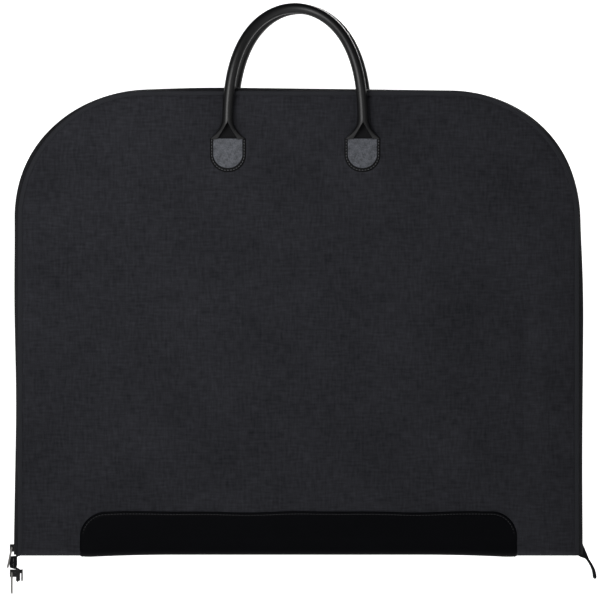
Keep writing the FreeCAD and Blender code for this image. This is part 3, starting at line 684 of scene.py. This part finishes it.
def patchRise(x, z):
    # thickness of the leather over the cloth: a quarter round at the edge and a furrow under the stitches
    inside = edgeDistance(x, z, patch["half"], patch["height"], patch["corner"])
    ramp = unit(inside / patch["edge"])
    rise = patch["thickness"] * np.sqrt(np.maximum(1 - (1 - ramp) ** 2, 0)) + 0.05 * mm
    return rise - 0.45 * mm * np.exp(-((inside - patch["stitchInset"]) / (0.8 * mm)) ** 2)


def patchWave(x):
    # the top edge wanders a little: sum of two sines
    return (0.55 * np.sin(x * 34 + 0.6) + 0.35 * np.sin(x * 71 + 2.0)) * mm


def makePatch(side):
    # leather over the shell's own soft shape
    sign = sides[side]
    wide, high = wrappedRows(patch["half"], patch["height"], patch["corner"], face["bend"], 0,
                             patch["rows"], patch["half"])
    x = wide[:, None] * edgeColumns(patch["columns"], 0.25, 2.6)[None]
    height = np.broadcast_to(high[:, None], x.shape)
    rise = patchRise(x, height)
    cloth = faceDepth(x, height, side)
    wander = patchWave(x) * unit((height - 0.02) / 0.02)
    outer = wrapRound(sign, x, height, 0, face["bend"], cloth + rise)
    inner = wrapRound(sign, x, height, 0, face["bend"], cloth + 0.02 * mm)
    outer[:, :, 2] += wander
    inner[:, :, 2] += wander
    addWrapped(side, "PatchLeather", ("patch_flap", "base_patch"), outer, inner, x, height,
               "patch", "patch_leather")
    makePatchStitches(side, sign)


def stitchLine(half, top, radius, foot, inset, pitch):
    # places and directions of stitches on a line inside such a plate's edge
    def middles(length):
        return (np.arange(int(length / pitch)) + 0.5) * length / int(length / pitch)

    way, x, z, turned = walkOutline(half - inset, top - inset, max(radius - inset, 1 * mm), foot, middles)
    return x, z, np.sin(turned), np.cos(turned)


def makePatchStitches(side, sign):
    x, z, alongX, alongZ = stitchLine(patch["half"], patch["height"], patch["corner"], 8 * mm,
                                      patch["stitchInset"], patch["stitchPitch"])
    rise = softDepth(x, z, side) + patchRise(x, z)
    wander = patchWave(x) * unit((z - 0.02) / 0.02)
    zero = np.zeros_like(x)
    places = np.stack([x, sign * (bag["halfDepth"] + rise + 0.08 * mm), foldZ + z + wander], axis=1)
    along = np.stack([alongX, zero, alongZ], axis=1)
    up = np.tile([0.0, sign, 0.0], (len(x), 1))
    addStitches(side + "PatchStitches", patch["stitch"], places, along, np.cross(up, along), up,
                "darkThread", "patch_leather", side + "_half")


for side in sides:
    makeShell(side)
    makeLining(side)
    makePatch(side)
print("shells, linings and patches made")

# binding, gusset and zip
rim = {
    "bindingWide": 4.8 * mm, "bindingDeep": 2.6 * mm, "bindingDip": 0.28 * mm,
    "bindingFoot": -1.8 * mm, "gussetFoot": -1.2 * mm, "gussetThick": 1.0 * mm, "rearSwell": 0.8,
    # swelling of the gusset in mm at shares of its run, from the left foot over the top
    "gussetSwell": ((0, 5.0), (0.11, 2.1), (0.19, 4.6), (0.24, 3.6), (0.285, 5.5), (0.37, 0.8), (0.43, 4.2),
                    (0.575, 1.6), (0.63, 0.4), (0.70, 3.6), (0.745, 1.0), (0.81, 5.3), (0.93, 3.8), (1, 4.4)),
    "coilInset": 1.3 * mm, "coilPitch": 1.35 * mm, "coilWire": 0.35 * mm, "coilTall": 0.95 * mm,
    "coilMiddle": 1.3 * mm, "coilWide": 1.75 * mm,      # teeth reach past the middle and interlock
}


def makeBinding(side):
    # superellipse section, with a shallow dip where its stitching pulls it in
    sign = sides[side]
    low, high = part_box(side + "_binding")
    middleY = (low.y + high.y) / 2
    out, y = superellipse(20, 0.62)
    out = out * rim["bindingWide"] / 2
    y = y * rim["bindingDeep"] / 2
    dip = rim["bindingDip"] * np.exp(-((out + 1.2 * mm) / (0.6 * mm)) ** 2)
    y = np.where(y * sign > 0, y - sign * dip, y)
    inset = bag["bindingInset"] + rim["bindingWide"] / 2
    way, rings = alongArch(inset, rim["bindingFoot"], 2.4 * mm, out[None], middleY + y[None])
    rings[:, :, 1] += sign * 0.12 * mm * np.sin(way * 61)[:, None]
    uv = spread(way[:, None], np.linspace(0, 14 * mm, 21)[None])
    made = tubeSolid(rings, uv)
    mergedCaps(addPiece(side + "BindingTape", *made, "binding", "edge_binding",
                        (side + "_binding",), side + "_half"))


def swellAlong(way, side):
    # the listed swellings, joined and softened by a running mean
    share, swell = np.array(rim["gussetSwell"]).T
    line = np.interp(way / way[-1], share, swell)
    soft = np.convolve(np.pad(line, 9, mode="edge"), np.full(19, 1 / 19), mode="valid")
    return soft * mm * (1 if side == "front" else rim["rearSwell"])


def makeStrip(side, name, node, inset, foot, thick, look, slot, swells=False):
    # flat strip along the outline; a gusset swells out on a sine between its two edges
    sign = sides[side]
    low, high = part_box(node)
    near, far = min(abs(low.y), abs(high.y)), max(abs(low.y), abs(high.y))
    across = np.linspace(0, 1, 12)
    y = sign * (near + (far - near) * across)
    way = archPath(inset, foot, 4 * mm)[0]
    swell = swellAlong(way, side) if swells else way * 0
    out = swell[:, None] * np.sin(pi * across)[None]
    way, outer = alongArch(inset, foot, 4 * mm, out, y[None])
    inner = alongArch(inset, foot, 4 * mm, out - thick, y[None])[1]
    uv = spread(way[:, None], ((far - near) * across)[None])
    addPiece(name, *sheetSolid(outer, inner, uv), look, slot, (node,), side + "_half")


def makeCoil(side):
    # helix along the outline: out = tall cos t, y = wide sin t, with a small round wire
    sign = sides[side]
    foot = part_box(side + "_zip_coil")[0].z - foldZ
    perTurn, wirePoints = 8, 4
    way, x, z, outX, outZ = archPath(rim["coilInset"], foot, rim["coilPitch"] / perTurn)
    turn = way / rim["coilPitch"] * 2 * pi + (pi if side == "rear" else 0)
    around = np.linspace(0, 2 * pi, wirePoints, endpoint=False)
    out = rim["coilTall"] * np.cos(turn)[:, None] + rim["coilWire"] * (
        np.cos(turn)[:, None] * np.cos(around)[None])
    y = rim["coilMiddle"] + rim["coilWide"] * np.sin(turn)[:, None] + rim["coilWire"] * (
        np.sin(turn)[:, None] * np.cos(around)[None])
    slide = rim["coilWire"] * np.sin(around)[None]
    rings = np.stack([x[:, None] + out * outX[:, None] + slide * outZ[:, None],
                      sign * y,
                      foldZ + z[:, None] + out * outZ[:, None] - slide * outX[:, None]], axis=2)
    uv = spread(way[:, None], np.linspace(0, 2 * mm, wirePoints + 1)[None])
    mergedCaps(addPiece(side + "CoilTeeth", *tubeSolid(rings, uv), "coil", "zip_coil",
                        (side + "_zip_coil",), side + "_half"))


for side in sides:
    makeBinding(side)
    makeStrip(side, side + "GussetCloth", side + "_gusset", bag["bindingInset"], rim["gussetFoot"],
              rim["gussetThick"], "gusset", "shell_fabric", swells=True)
    makeStrip(side, side + "TapeCloth", side + "_zip_tape", 2.6 * mm, 15 * mm, 0.8 * mm, "tape", "zip_tape")
    makeCoil(side)
print("binding, gussets and zip made")

# handles and tabs
handle = {
    "halfSpacing": 72.0 * mm, "power": 2.8, "rollRadius": 5.7 * mm, "leather": 1.3 * mm,
    "legStand": 32.4 * mm,          # centre of a leg from the middle of the bag
    "gripStand": 7.5 * mm,
    "legTop": 50 * mm, "rise": 138 * mm,    # above the neck line
    "neckRise": 21 * mm, "neckHalf": 18.6 * mm, "neckDeep": 2.2 * mm,
    "mouthHalf": 11.2 * mm, "mouthRise": 0.86, "neckLift": 0.3 * mm,
    "seamDepth": 0.45 * mm, "seamWidth": 0.16,      # furrow inside the bow, its width in radians
    "stitchPitch": 3.4 * mm, "stitch": (2.5 * mm, 0.7 * mm, 0.6 * mm),
    "bendFrom": 0.001, "bendTo": 0.014,             # two heights above the neck line
    "strandOff": 1.75 * mm, "strandRadius": 1.65 * mm, "strandLay": 0.022,      # rope inside
}
tab = {"corner": 18.4 * mm, "edge": 1.3 * mm, "thickness": 1.7 * mm, "fieldHalf": 15.6 * mm,
       "fieldHeight": 31.2 * mm, "fieldCorner": 15.2 * mm, "fieldRise": 0.45 * mm,
       "stitchInset": 2.0 * mm, "stitchPitch": 3.2 * mm,
       "stitch": (2.1 * mm, 0.7 * mm, 0.6 * mm)}


def handleLine(middleX, rows):
    # bow x = half sqrt(1 - (h / rise) ** power), read at equal steps of its length; it leans inwards
    # with the square of its climb above the top of the legs
    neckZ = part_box("front_tab_left")[1].z - 0.5 * mm
    angle = np.linspace(0, pi, 4000)
    high = -handle["rise"] + handle["rise"] * np.sin(angle) ** (2 / handle["power"])
    bowX = -handle["halfSpacing"] * np.cos(angle)
    x = np.concatenate([[-handle["halfSpacing"]], bowX, [handle["halfSpacing"]]])
    z = np.concatenate([[neckZ], high, [neckZ]])
    length = np.concatenate([[0], np.cumsum(np.hypot(np.diff(x), np.diff(z)))])
    step = np.linspace(0, length[-1], rows)
    x, z = np.interp(step, length, x), np.interp(step, length, z)
    legTop = handle["legTop"] - handle["rise"]
    climb = unit((z - legTop) / -legTop)
    stand = handle["legStand"] - (handle["legStand"] - handle["gripStand"]) * climb ** 2
    return middleX + x, stand, z, neckZ


def makeHandle(side):
    # leather strip curled round a line: an ellipse with an open mouth towards the front at both necks
    sign = sides[side]
    leftLow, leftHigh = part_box(side + "_tab_left")
    rightLow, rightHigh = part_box(side + "_tab_right")
    middleX = (leftLow.x + rightHigh.x) / 2
    x, stand, z, neckZ = handleLine(middleX, 260)
    q = unit((z - neckZ) / handle["neckRise"])
    flare = (1 - q) ** 1.9
    wide = handle["rollRadius"] + (handle["neckHalf"] - handle["rollRadius"]) * flare
    deep = handle["rollRadius"] + (handle["neckDeep"] - handle["rollRadius"]) * (1 - q) ** 2.4
    cloth = softDepth(x, np.minimum(z, neckZ + handle["neckRise"]) - foldZ, side)
    back = bag["halfDepth"] + cloth + handle["neckLift"] - 0.5 * mm * (1 - q)
    stand = np.where(q < 1, back + deep - (1 - q) * 0.4 * mm, stand)
    blendUp = unit((z - neckZ - handle["neckRise"]) / 0.02)
    stand = np.where((q >= 1) & (blendUp < 1) & (z < -handle["rise"] + handle["legTop"]),
                     (back + handle["rollRadius"]) * (1 - blendUp) + handle["legStand"] * blendUp, stand)
    mouth = handle["mouthHalf"] * unit((handle["mouthRise"] - q) / handle["mouthRise"])
    gap = np.arcsin(np.clip(mouth / wide, 0, 0.98))
    centres = np.stack([x, sign * stand, z], axis=1)
    way = np.gradient(centres, axis=0)
    way /= np.linalg.norm(way, axis=1, keepdims=True)
    out = np.tile([0.0, sign, 0.0], (len(x), 1))
    out -= way * np.sum(out * way, axis=1, keepdims=True)
    out /= np.linalg.norm(out, axis=1, keepdims=True)
    inwards = np.cross(way, out) * -sign
    around = np.linspace(-1, 1, 49)[None] * (pi - gap)[:, None]
    seamed = unit((q - 1) + unit((z - neckZ - 0.028) / 0.012))[:, None]
    furrow = handle["seamDepth"] * seamed * np.exp(-((around + pi / 2) / handle["seamWidth"]) ** 2)

    def section(less):
        a = (wide[:, None] - less - furrow)[:, :, None]
        b = (deep[:, None] - less * 0.8 - furrow)[:, :, None]
        return (centres[:, None] + a * np.sin(around)[:, :, None] * -inwards[:, None]
                - b * np.cos(around)[:, :, None] * out[:, None])

    outer = section(0)
    inner = section(handle["leather"])
    length = np.concatenate([[0], np.cumsum(np.linalg.norm(np.diff(centres, axis=0), axis=1))])
    uv = np.stack([around * handle["rollRadius"], np.broadcast_to(length[:, None], around.shape)], axis=2)
    made = sheetSolid(outer, inner, uv, uv + np.array([1.0, 0]))
    piece = addPiece(side + "HandleLeather", *made, "handle", "handle_leather",
                     (side + "_handle_roll", side + "_tab_left", side + "_tab_right"))
    neckZ + handle["bendFrom"]
    neckZ + handle["bendTo"]
    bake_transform(piece)
    makeRope(side, centres, out, inwards, q, length)
    makeSeam(side, centres, way, out, inwards, z > neckZ + 0.034, length)
    for end, low, high in (("Left", leftLow, leftHigh), ("Right", rightLow, rightHigh)):
        makeTab(side, end, sign, low, high)


def makeSeam(side, centres, way, out, inwards, keep, length):
    # stitches along the furrow on the inner side of the bow
    first, last = length[keep][0], length[keep][-1]
    step = np.arange(first, last, handle["stitchPitch"])

    def read(values):
        return np.stack([np.interp(step, length, values[:, i]) for i in range(3)], axis=1)

    inner = read(inwards)
    places = read(centres) + inner * (handle["rollRadius"] - handle["seamDepth"] + 0.1 * mm)
    addStitches(side + "HandleStitches", handle["stitch"], places, read(way), read(out), inner,
                "darkThread", "handle_leather", side + "_handle")


def makeRope(side, centres, out, inwards, q, length):
    # three strands laid round the handle's line on a helix
    keep = q >= 1
    keep &= (np.cumsum(keep) > 3) & (np.cumsum(keep[::-1])[::-1] > 3)
    centres, out, inwards, length = centres[keep], out[keep], inwards[keep], length[keep]
    around = np.linspace(0, 2 * pi, 10, endpoint=False)
    strands = []
    for strand in range(3):
        lay = length / handle["strandLay"] * 2 * pi + strand * 2 * pi / 3
        middle = centres + handle["strandOff"] * (np.cos(lay)[:, None] * out + np.sin(lay)[:, None] * inwards)
        rings = middle[:, None] + handle["strandRadius"] * (
            np.cos(around)[None, :, None] * out[:, None] + np.sin(around)[None, :, None] * inwards[:, None])
        uv = spread(np.linspace(0, 10 * mm, 11)[None], length[:, None])
        strands.append(tubeSolid(rings, uv))
    mergedCaps(addPiece(side + "RopeCore", *joined(strands), "rope", "rope_core",
                        (side + "_handle_core",), side + "_handle"))


def plate(side, sign, middleX, topZ, half, height, corner, edge, thick, base):
    # hanging plate with round lower corners and a quarter round edge, over the soft face
    wide, down = archRows(half, height, corner, 0, 22, 14)
    x = wide[:, None] * edgeColumns(44, 0.35)[None]
    drop = np.broadcast_to(down[:, None], x.shape)
    inside = np.minimum(edgeDistance(x, drop, half, height, corner), drop + edge * 0.35)
    ramp = unit(inside / edge)
    rise = base + thick * np.sqrt(np.maximum(1 - (1 - ramp) ** 2, 0)) + 0.02 * mm
    z = topZ - drop
    cloth = softDepth(middleX + x, z - foldZ, side) - 0.4 * mm
    outer = np.stack([middleX + x, sign * (bag["halfDepth"] + cloth + rise), z], axis=2)
    inner = np.stack([middleX + x, sign * (bag["halfDepth"] + cloth + base * 0.5), z], axis=2)
    return sheetSolid(outer, inner, np.stack([x, drop], axis=2))


def makeTab(side, end, sign, low, high):
    # a rim plate, a grained field plate on it and a line of stitches
    middleX = (low.x + high.x) / 2
    half, height = (high.x - low.x) / 2, high.z - low.z
    body = side + "_half"
    name = side + end
    made = plate(side, sign, middleX, high.z, half, height, tab["corner"], tab["edge"], tab["thickness"], 0)
    addPiece(name + "TabRim", *made, "edge", "handle_leather", body=body)
    fieldTop = high.z - 0.4 * mm
    made = plate(side, sign, middleX, fieldTop, tab["fieldHalf"], tab["fieldHeight"],
                 tab["fieldCorner"], 0.6 * mm, tab["fieldRise"], tab["thickness"])
    addPiece(name + "TabField", *made, "field", "tab_leather", body=body)
    x, drop, alongX, alongZ = stitchLine(half, height, tab["corner"], 1 * mm,
                                         tab["stitchInset"], tab["stitchPitch"])
    z = high.z - drop
    zero = np.zeros_like(x)
    depth = softDepth(middleX + x, z - foldZ, side) - 0.4 * mm + tab["thickness"] + 0.1 * mm
    places = np.stack([middleX + x, sign * (bag["halfDepth"] + depth), z], axis=1)
    along = np.stack([alongX, zero, -alongZ], axis=1)
    up = np.tile([0.0, sign, 0.0], (len(x), 1))
    addStitches(name + "TabStitches", tab["stitch"], places, along, np.cross(up, along), up,
                "thread", "tab_leather", body)


for side in sides:
    makeHandle(side)
print("handles and tabs made")

# zip tails
tail = {
    "leftSwell": 8.2 * mm, "leftLean": 3.2 * mm, "leftBehind": 4.5 * mm, "leftTurn": 1.45,
    "leftShort": 4.5 * mm,          # ends above its CAD node's foot, behind the lower slider
    "leftStrip": 4.1 * mm, "leftSlit": 0.04 * mm, "leftThick": 0.55 * mm, "leftRows": 110,
    "rightPoints": 70, "rightStart": 1.5 * mm, "rightReach": 17.4 * mm, "rightBow": 1.9 * mm,
    "rightThick": 3.5, "rightTip": 0.6,         # mm, and how much more at the tip
    "wedgeFoot": 0.41, "wedgeRun": 0.09, "wedgeInside": 0.7 * mm,
    "corner": 0.55,                 # power of the superellipse section
}


def makeLeftTail():
    # two strips of tape; between the sliders they turn flat, pass behind the upper puller and swell
    # outwards on a smooth step of a sine
    strips = []
    low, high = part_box("zip_tail_left")
    upperFoot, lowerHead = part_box("upper_slider")[0].z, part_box("lower_slider")[1].z
    z = np.linspace(high.z, low.z + tail["leftShort"], tail["leftRows"])
    between = unit((upperFoot - z) / (upperFoot - lowerHead))
    bend = unit(2.6 * np.sin(pi * between))
    bulge = bend ** 2 * (3 - 2 * bend)
    lean = tail["leftLean"] * unit((high.z - z) / (high.z - upperFoot)) ** 2
    middleX = (low.x + high.x) / 2 + 1.3 * mm - lean - (tail["leftSwell"] - tail["leftLean"]) * bulge
    early = unit(4.2 * np.sin(pi * between)) ** 0.8     # turned and set back before it swells
    turn = tail["leftTurn"] * early
    behind = (tail["leftBehind"] * early)[:, None]
    narrow = np.clip((z - low.z) / (high.z - low.z) * 2.2, 0.42, 1)
    across = np.linspace(0, 1, 9)
    for strip in (-1, 1):
        reach = strip * (tail["leftSlit"] + tail["leftStrip"] * across[None] * narrow[:, None])
        cup = 0.25 * mm * across[None] ** 2 * bulge[:, None]
        sheets = []
        for lift in (-tail["leftThick"], tail["leftThick"]):
            off = lift + cup
            sheets.append(np.stack([middleX[:, None] + reach * np.sin(turn)[:, None]
                                    - off * np.cos(turn)[:, None],
                                    behind + reach * np.cos(turn)[:, None] + off * np.sin(turn)[:, None],
                                    np.broadcast_to(z[:, None], reach.shape)], axis=2))
        uv = spread(z[:, None], (across * 5 * mm)[None])
        strips.append(sheetSolid(*sheets, uv))
    addPiece("leftTailTape", *joined(strips), "tape", "zip_tape", ("zip_tail_left",), "rear_half")


def makeRightTail():
    # level superellipses between an outer and an inner line: a wedge against the bag's side down to its foot,
    # then a thin strip that bows outwards on a sine
    low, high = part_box("zip_tail_right")
    run = np.linspace(0, 1, tail["rightPoints"])
    z = high.z + 2 * mm - (high.z - low.z + 1 * mm) * run
    outerX = (bag["halfWidth"] + tail["rightStart"] + tail["rightReach"] * run ** 0.92
              + tail["rightBow"] * np.sin(pi * unit((run - 0.5) / 0.5)))
    thick = (tail["rightThick"] + tail["rightTip"] * unit((run - 0.65) / 0.3)) * mm
    step = unit((run - tail["wedgeFoot"]) / tail["wedgeRun"])
    inside = bag["halfWidth"] - tail["wedgeInside"]
    innerX = inside + (outerX - thick - inside) * step ** 2 * (3 - 2 * step)
    ends = np.sqrt(np.clip(1 - unit((run - 0.94) / 0.06) ** 2, 0.05, 1))
    wide = (outerX - innerX) / 2 * ends
    broad = (4.9 - 2.9 * run) * mm * ends
    sectionX, sectionY = superellipse(18, tail["corner"])
    rings = spread(((outerX + innerX) / 2)[:, None] + wide[:, None] * sectionX,
                   broad[:, None] * sectionY, z[:, None])
    uv = spread((run * 0.045)[:, None], np.linspace(0, 0.02, 19)[None])
    mergedCaps(addPiece("rightTailTape", *tubeSolid(rings, uv), "tape", "zip_tape",
                        ("zip_tail_right",), "rear_half"))


makeLeftTail()
makeRightTail()
print("zip tails made")

# bands inside
band = {"sag": 2.5 * mm, "wave": 0.8 * mm, "halfThick": 0.45 * mm, "columns": 120, "rows": 10}


def makeBand(side):
    # elastic that sags a little between its ends and waves off its plane
    low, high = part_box(side + "_garment_band")
    run = np.linspace(-1, 1, band["columns"])[:, None]
    across = np.linspace(0, 1, band["rows"])[None]
    x = np.broadcast_to(run * high.x, (band["columns"], band["rows"]))
    z = low.z + (high.z - low.z) * across - band["sag"] * (1 - run ** 2)
    y = (low.y + high.y) / 2 + band["wave"] * np.sin(run * 9) * (1 - run ** 2) + z * 0
    outer = np.stack([x, y - band["halfThick"], z], axis=2)
    inner = np.stack([x, y + band["halfThick"], z], axis=2)
    made = sheetSolid(outer, inner, spread(x, 0.03 * across))
    addPiece(side + "ElasticBand", *made, "elastic", "elastic_web",
             (side + "_garment_band",), side + "_half")


# metal and backing leather
def rounded(node, name, look, width):
    # copy of a CAD piece, merged, with its edges rounded by a Bevel modifier
    source = frame["nodes"][node]
    body = next(b for b, members in frame["record"]["behaviour"]["bodies"].items() if node in members)
    mesh = source.data.copy()
    mesh.name = name
    piece = bpy.data.objects.new(name, mesh)
    bpy.context.scene.collection.objects.link(piece)
    work = bmesh.new()
    work.from_mesh(mesh)
    bmesh.ops.remove_doubles(work, verts=work.verts, dist=1e-6)
    bmesh.ops.dissolve_limit(work, angle_limit=math.radians(1), verts=work.verts, edges=work.edges)
    work.to_mesh(mesh)
    work.free()
    mesh.materials.clear()
    mesh.materials.append(looks[look])
    bevel = piece.modifiers.new("roundedEdges", "BEVEL")
    bevel.width = width
    bevel.segments = 3
    bevel.limit_method = "ANGLE"
    bevel.angle_limit = math.radians(40)
    mesh.polygons.foreach_set("use_smooth", np.ones(len(mesh.polygons), bool))
    mesh.set_sharp_from_angle(angle=math.radians(50))
    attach(piece, body)
    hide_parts(node)


for side in sides:
    makeBand(side)
    frame["nodes"][side + "_stiffener"].data.materials.clear()
    frame["nodes"][side + "_stiffener"].data.materials.append(looks["foam"])
    for end in ("left", "right"):
        rounded(side + "_tab_backing_" + end, side + end.title() + "Backing", "suede",
                0.2 * mm)
rounded("hanger_tab", "hangerTabLeather", "suede", 0.6 * mm)
rounded("hanger_eyelet", "hangerEyeletRing", "nickel", 0.2 * mm)
for level in ("upper", "lower"):
    rounded(level + "_slider", level + "SliderBody", "lacquer", 0.3 * mm)
    rounded(level + "_puller", level + "PullerTongue", "nickel", 0.35 * mm)
print("bands, metal and backing made")

# floor, light and camera
studio = {"distance": 5.0, "aimX": 0.008, "aimZ": -0.3125, "field": 0.651, "sensor": 36,
          "floorZ": 2 * foldZ - 0.14,       # a little below the bag when it hangs open
          "front": -12.0, "back": 5.0, "curve": 3.0, "wall": 6.0, "half": 14.0}


def coveGlow(place):
    # the backdrop glows, and the floor fades to a duller white towards the front
    along = place.node("SeparateXYZ", {}, {0: place}, output=1)
    return ((along + 1.0) * 0.5).limited().between((0.6, 0.6, 0.6), (1, 1, 1))


def makeCove():
    # floor that curves up into a low wall in front and a high wall behind, on two quarter circles
    turn = np.linspace(0, pi / 2, 16)
    curve, half = studio["curve"], studio["half"]
    y = np.concatenate([studio["front"] - curve * np.sin(turn[::-1]), studio["back"] + curve * np.sin(turn),
                        [studio["back"] + curve]])
    z = np.concatenate([curve * (1 - np.cos(turn[::-1])), curve * (1 - np.cos(turn)), [studio["wall"]]])
    x = np.linspace(-half, half, 10)
    grid = spread(x[None], y[:, None], studio["floorZ"] + z[:, None])
    mesh = bpy.data.meshes.new("cove")
    mesh.from_pydata(grid.reshape(-1, 3).tolist(), [], quads(len(y), len(x))[0].tolist())
    mesh.polygons.foreach_set("use_smooth", np.ones(len(mesh.polygons), bool))
    material = bpy.data.materials.new("pale_cove")
    material.use_nodes = True
    shader = material.node_tree.nodes["Principled BSDF"]
    shader.inputs["Base Color"].default_value = (0.93, 0.93, 0.93, 1)
    shader.inputs["Roughness"].default_value = 0.95
    shader.inputs["Emission Strength"].default_value = 0.97
    glow = coveGlow(Wire(material.node_tree).node("TexCoord", output=3))
    material.node_tree.links.new(glow.socket, shader.inputs["Emission Color"])
    mesh.materials.append(material)
    cove = bpy.data.objects.new("cove", mesh)
    bpy.context.scene.collection.objects.link(cove)


def softbox(name, place, target, wide, tall, watts):
    # a soft rectangular lamp turned to its target
    lamp = bpy.data.lights.new(name, "AREA")
    lamp.shape = "RECTANGLE"
    lamp.size = wide
    lamp.size_y = tall
    lamp.energy = watts
    box = bpy.data.objects.new(name, lamp)
    box.location = place
    aim = target - np.array(place)
    box.rotation_euler = Vector(aim).to_track_quat("-Z", "Y").to_euler()
    box.visible_camera = False
    bpy.context.scene.collection.objects.link(box)


makeCove()
middle = np.array([0, 0, -0.3])
lamps = {       # place, width, height, watts
    "keyFront": ((-0.33, -0.80, 0.02), 0.36, 0.46, 5.0),
    "fillRight": ((1.7, -2.4, 0.6), 1.2, 1.4, 2),
    "rearTop": ((0.5, 1.9, 0.8), 0.9, 0.9, 30),
}
for name, (place, wide, tall, watts) in lamps.items():
    softbox(name, place, middle, wide, tall, watts)

world = bpy.data.worlds.new("studio")
world.use_nodes = True
world.node_tree.nodes["Background"].inputs["Color"].default_value = (1, 1, 1, 1)
world.node_tree.nodes["Background"].inputs["Strength"].default_value = 0.04
bpy.context.scene.world = world

lens = bpy.data.cameras.new("camera")
lens.sensor_width = studio["sensor"]
lens.lens = studio["sensor"] * (studio["distance"] - bag["halfDepth"]) / studio["field"]
lens.clip_end = 60
camera = bpy.data.objects.new("camera", lens)
camera.location = (studio["aimX"], -studio["distance"], studio["aimZ"])
camera.rotation_euler = (pi / 2, 0, 0)
bpy.context.scene.collection.objects.link(camera)
bpy.context.scene.camera = camera
bpy.context.scene.view_settings.view_transform = "Standard"     # keeps the blacks deep
print("studio made")
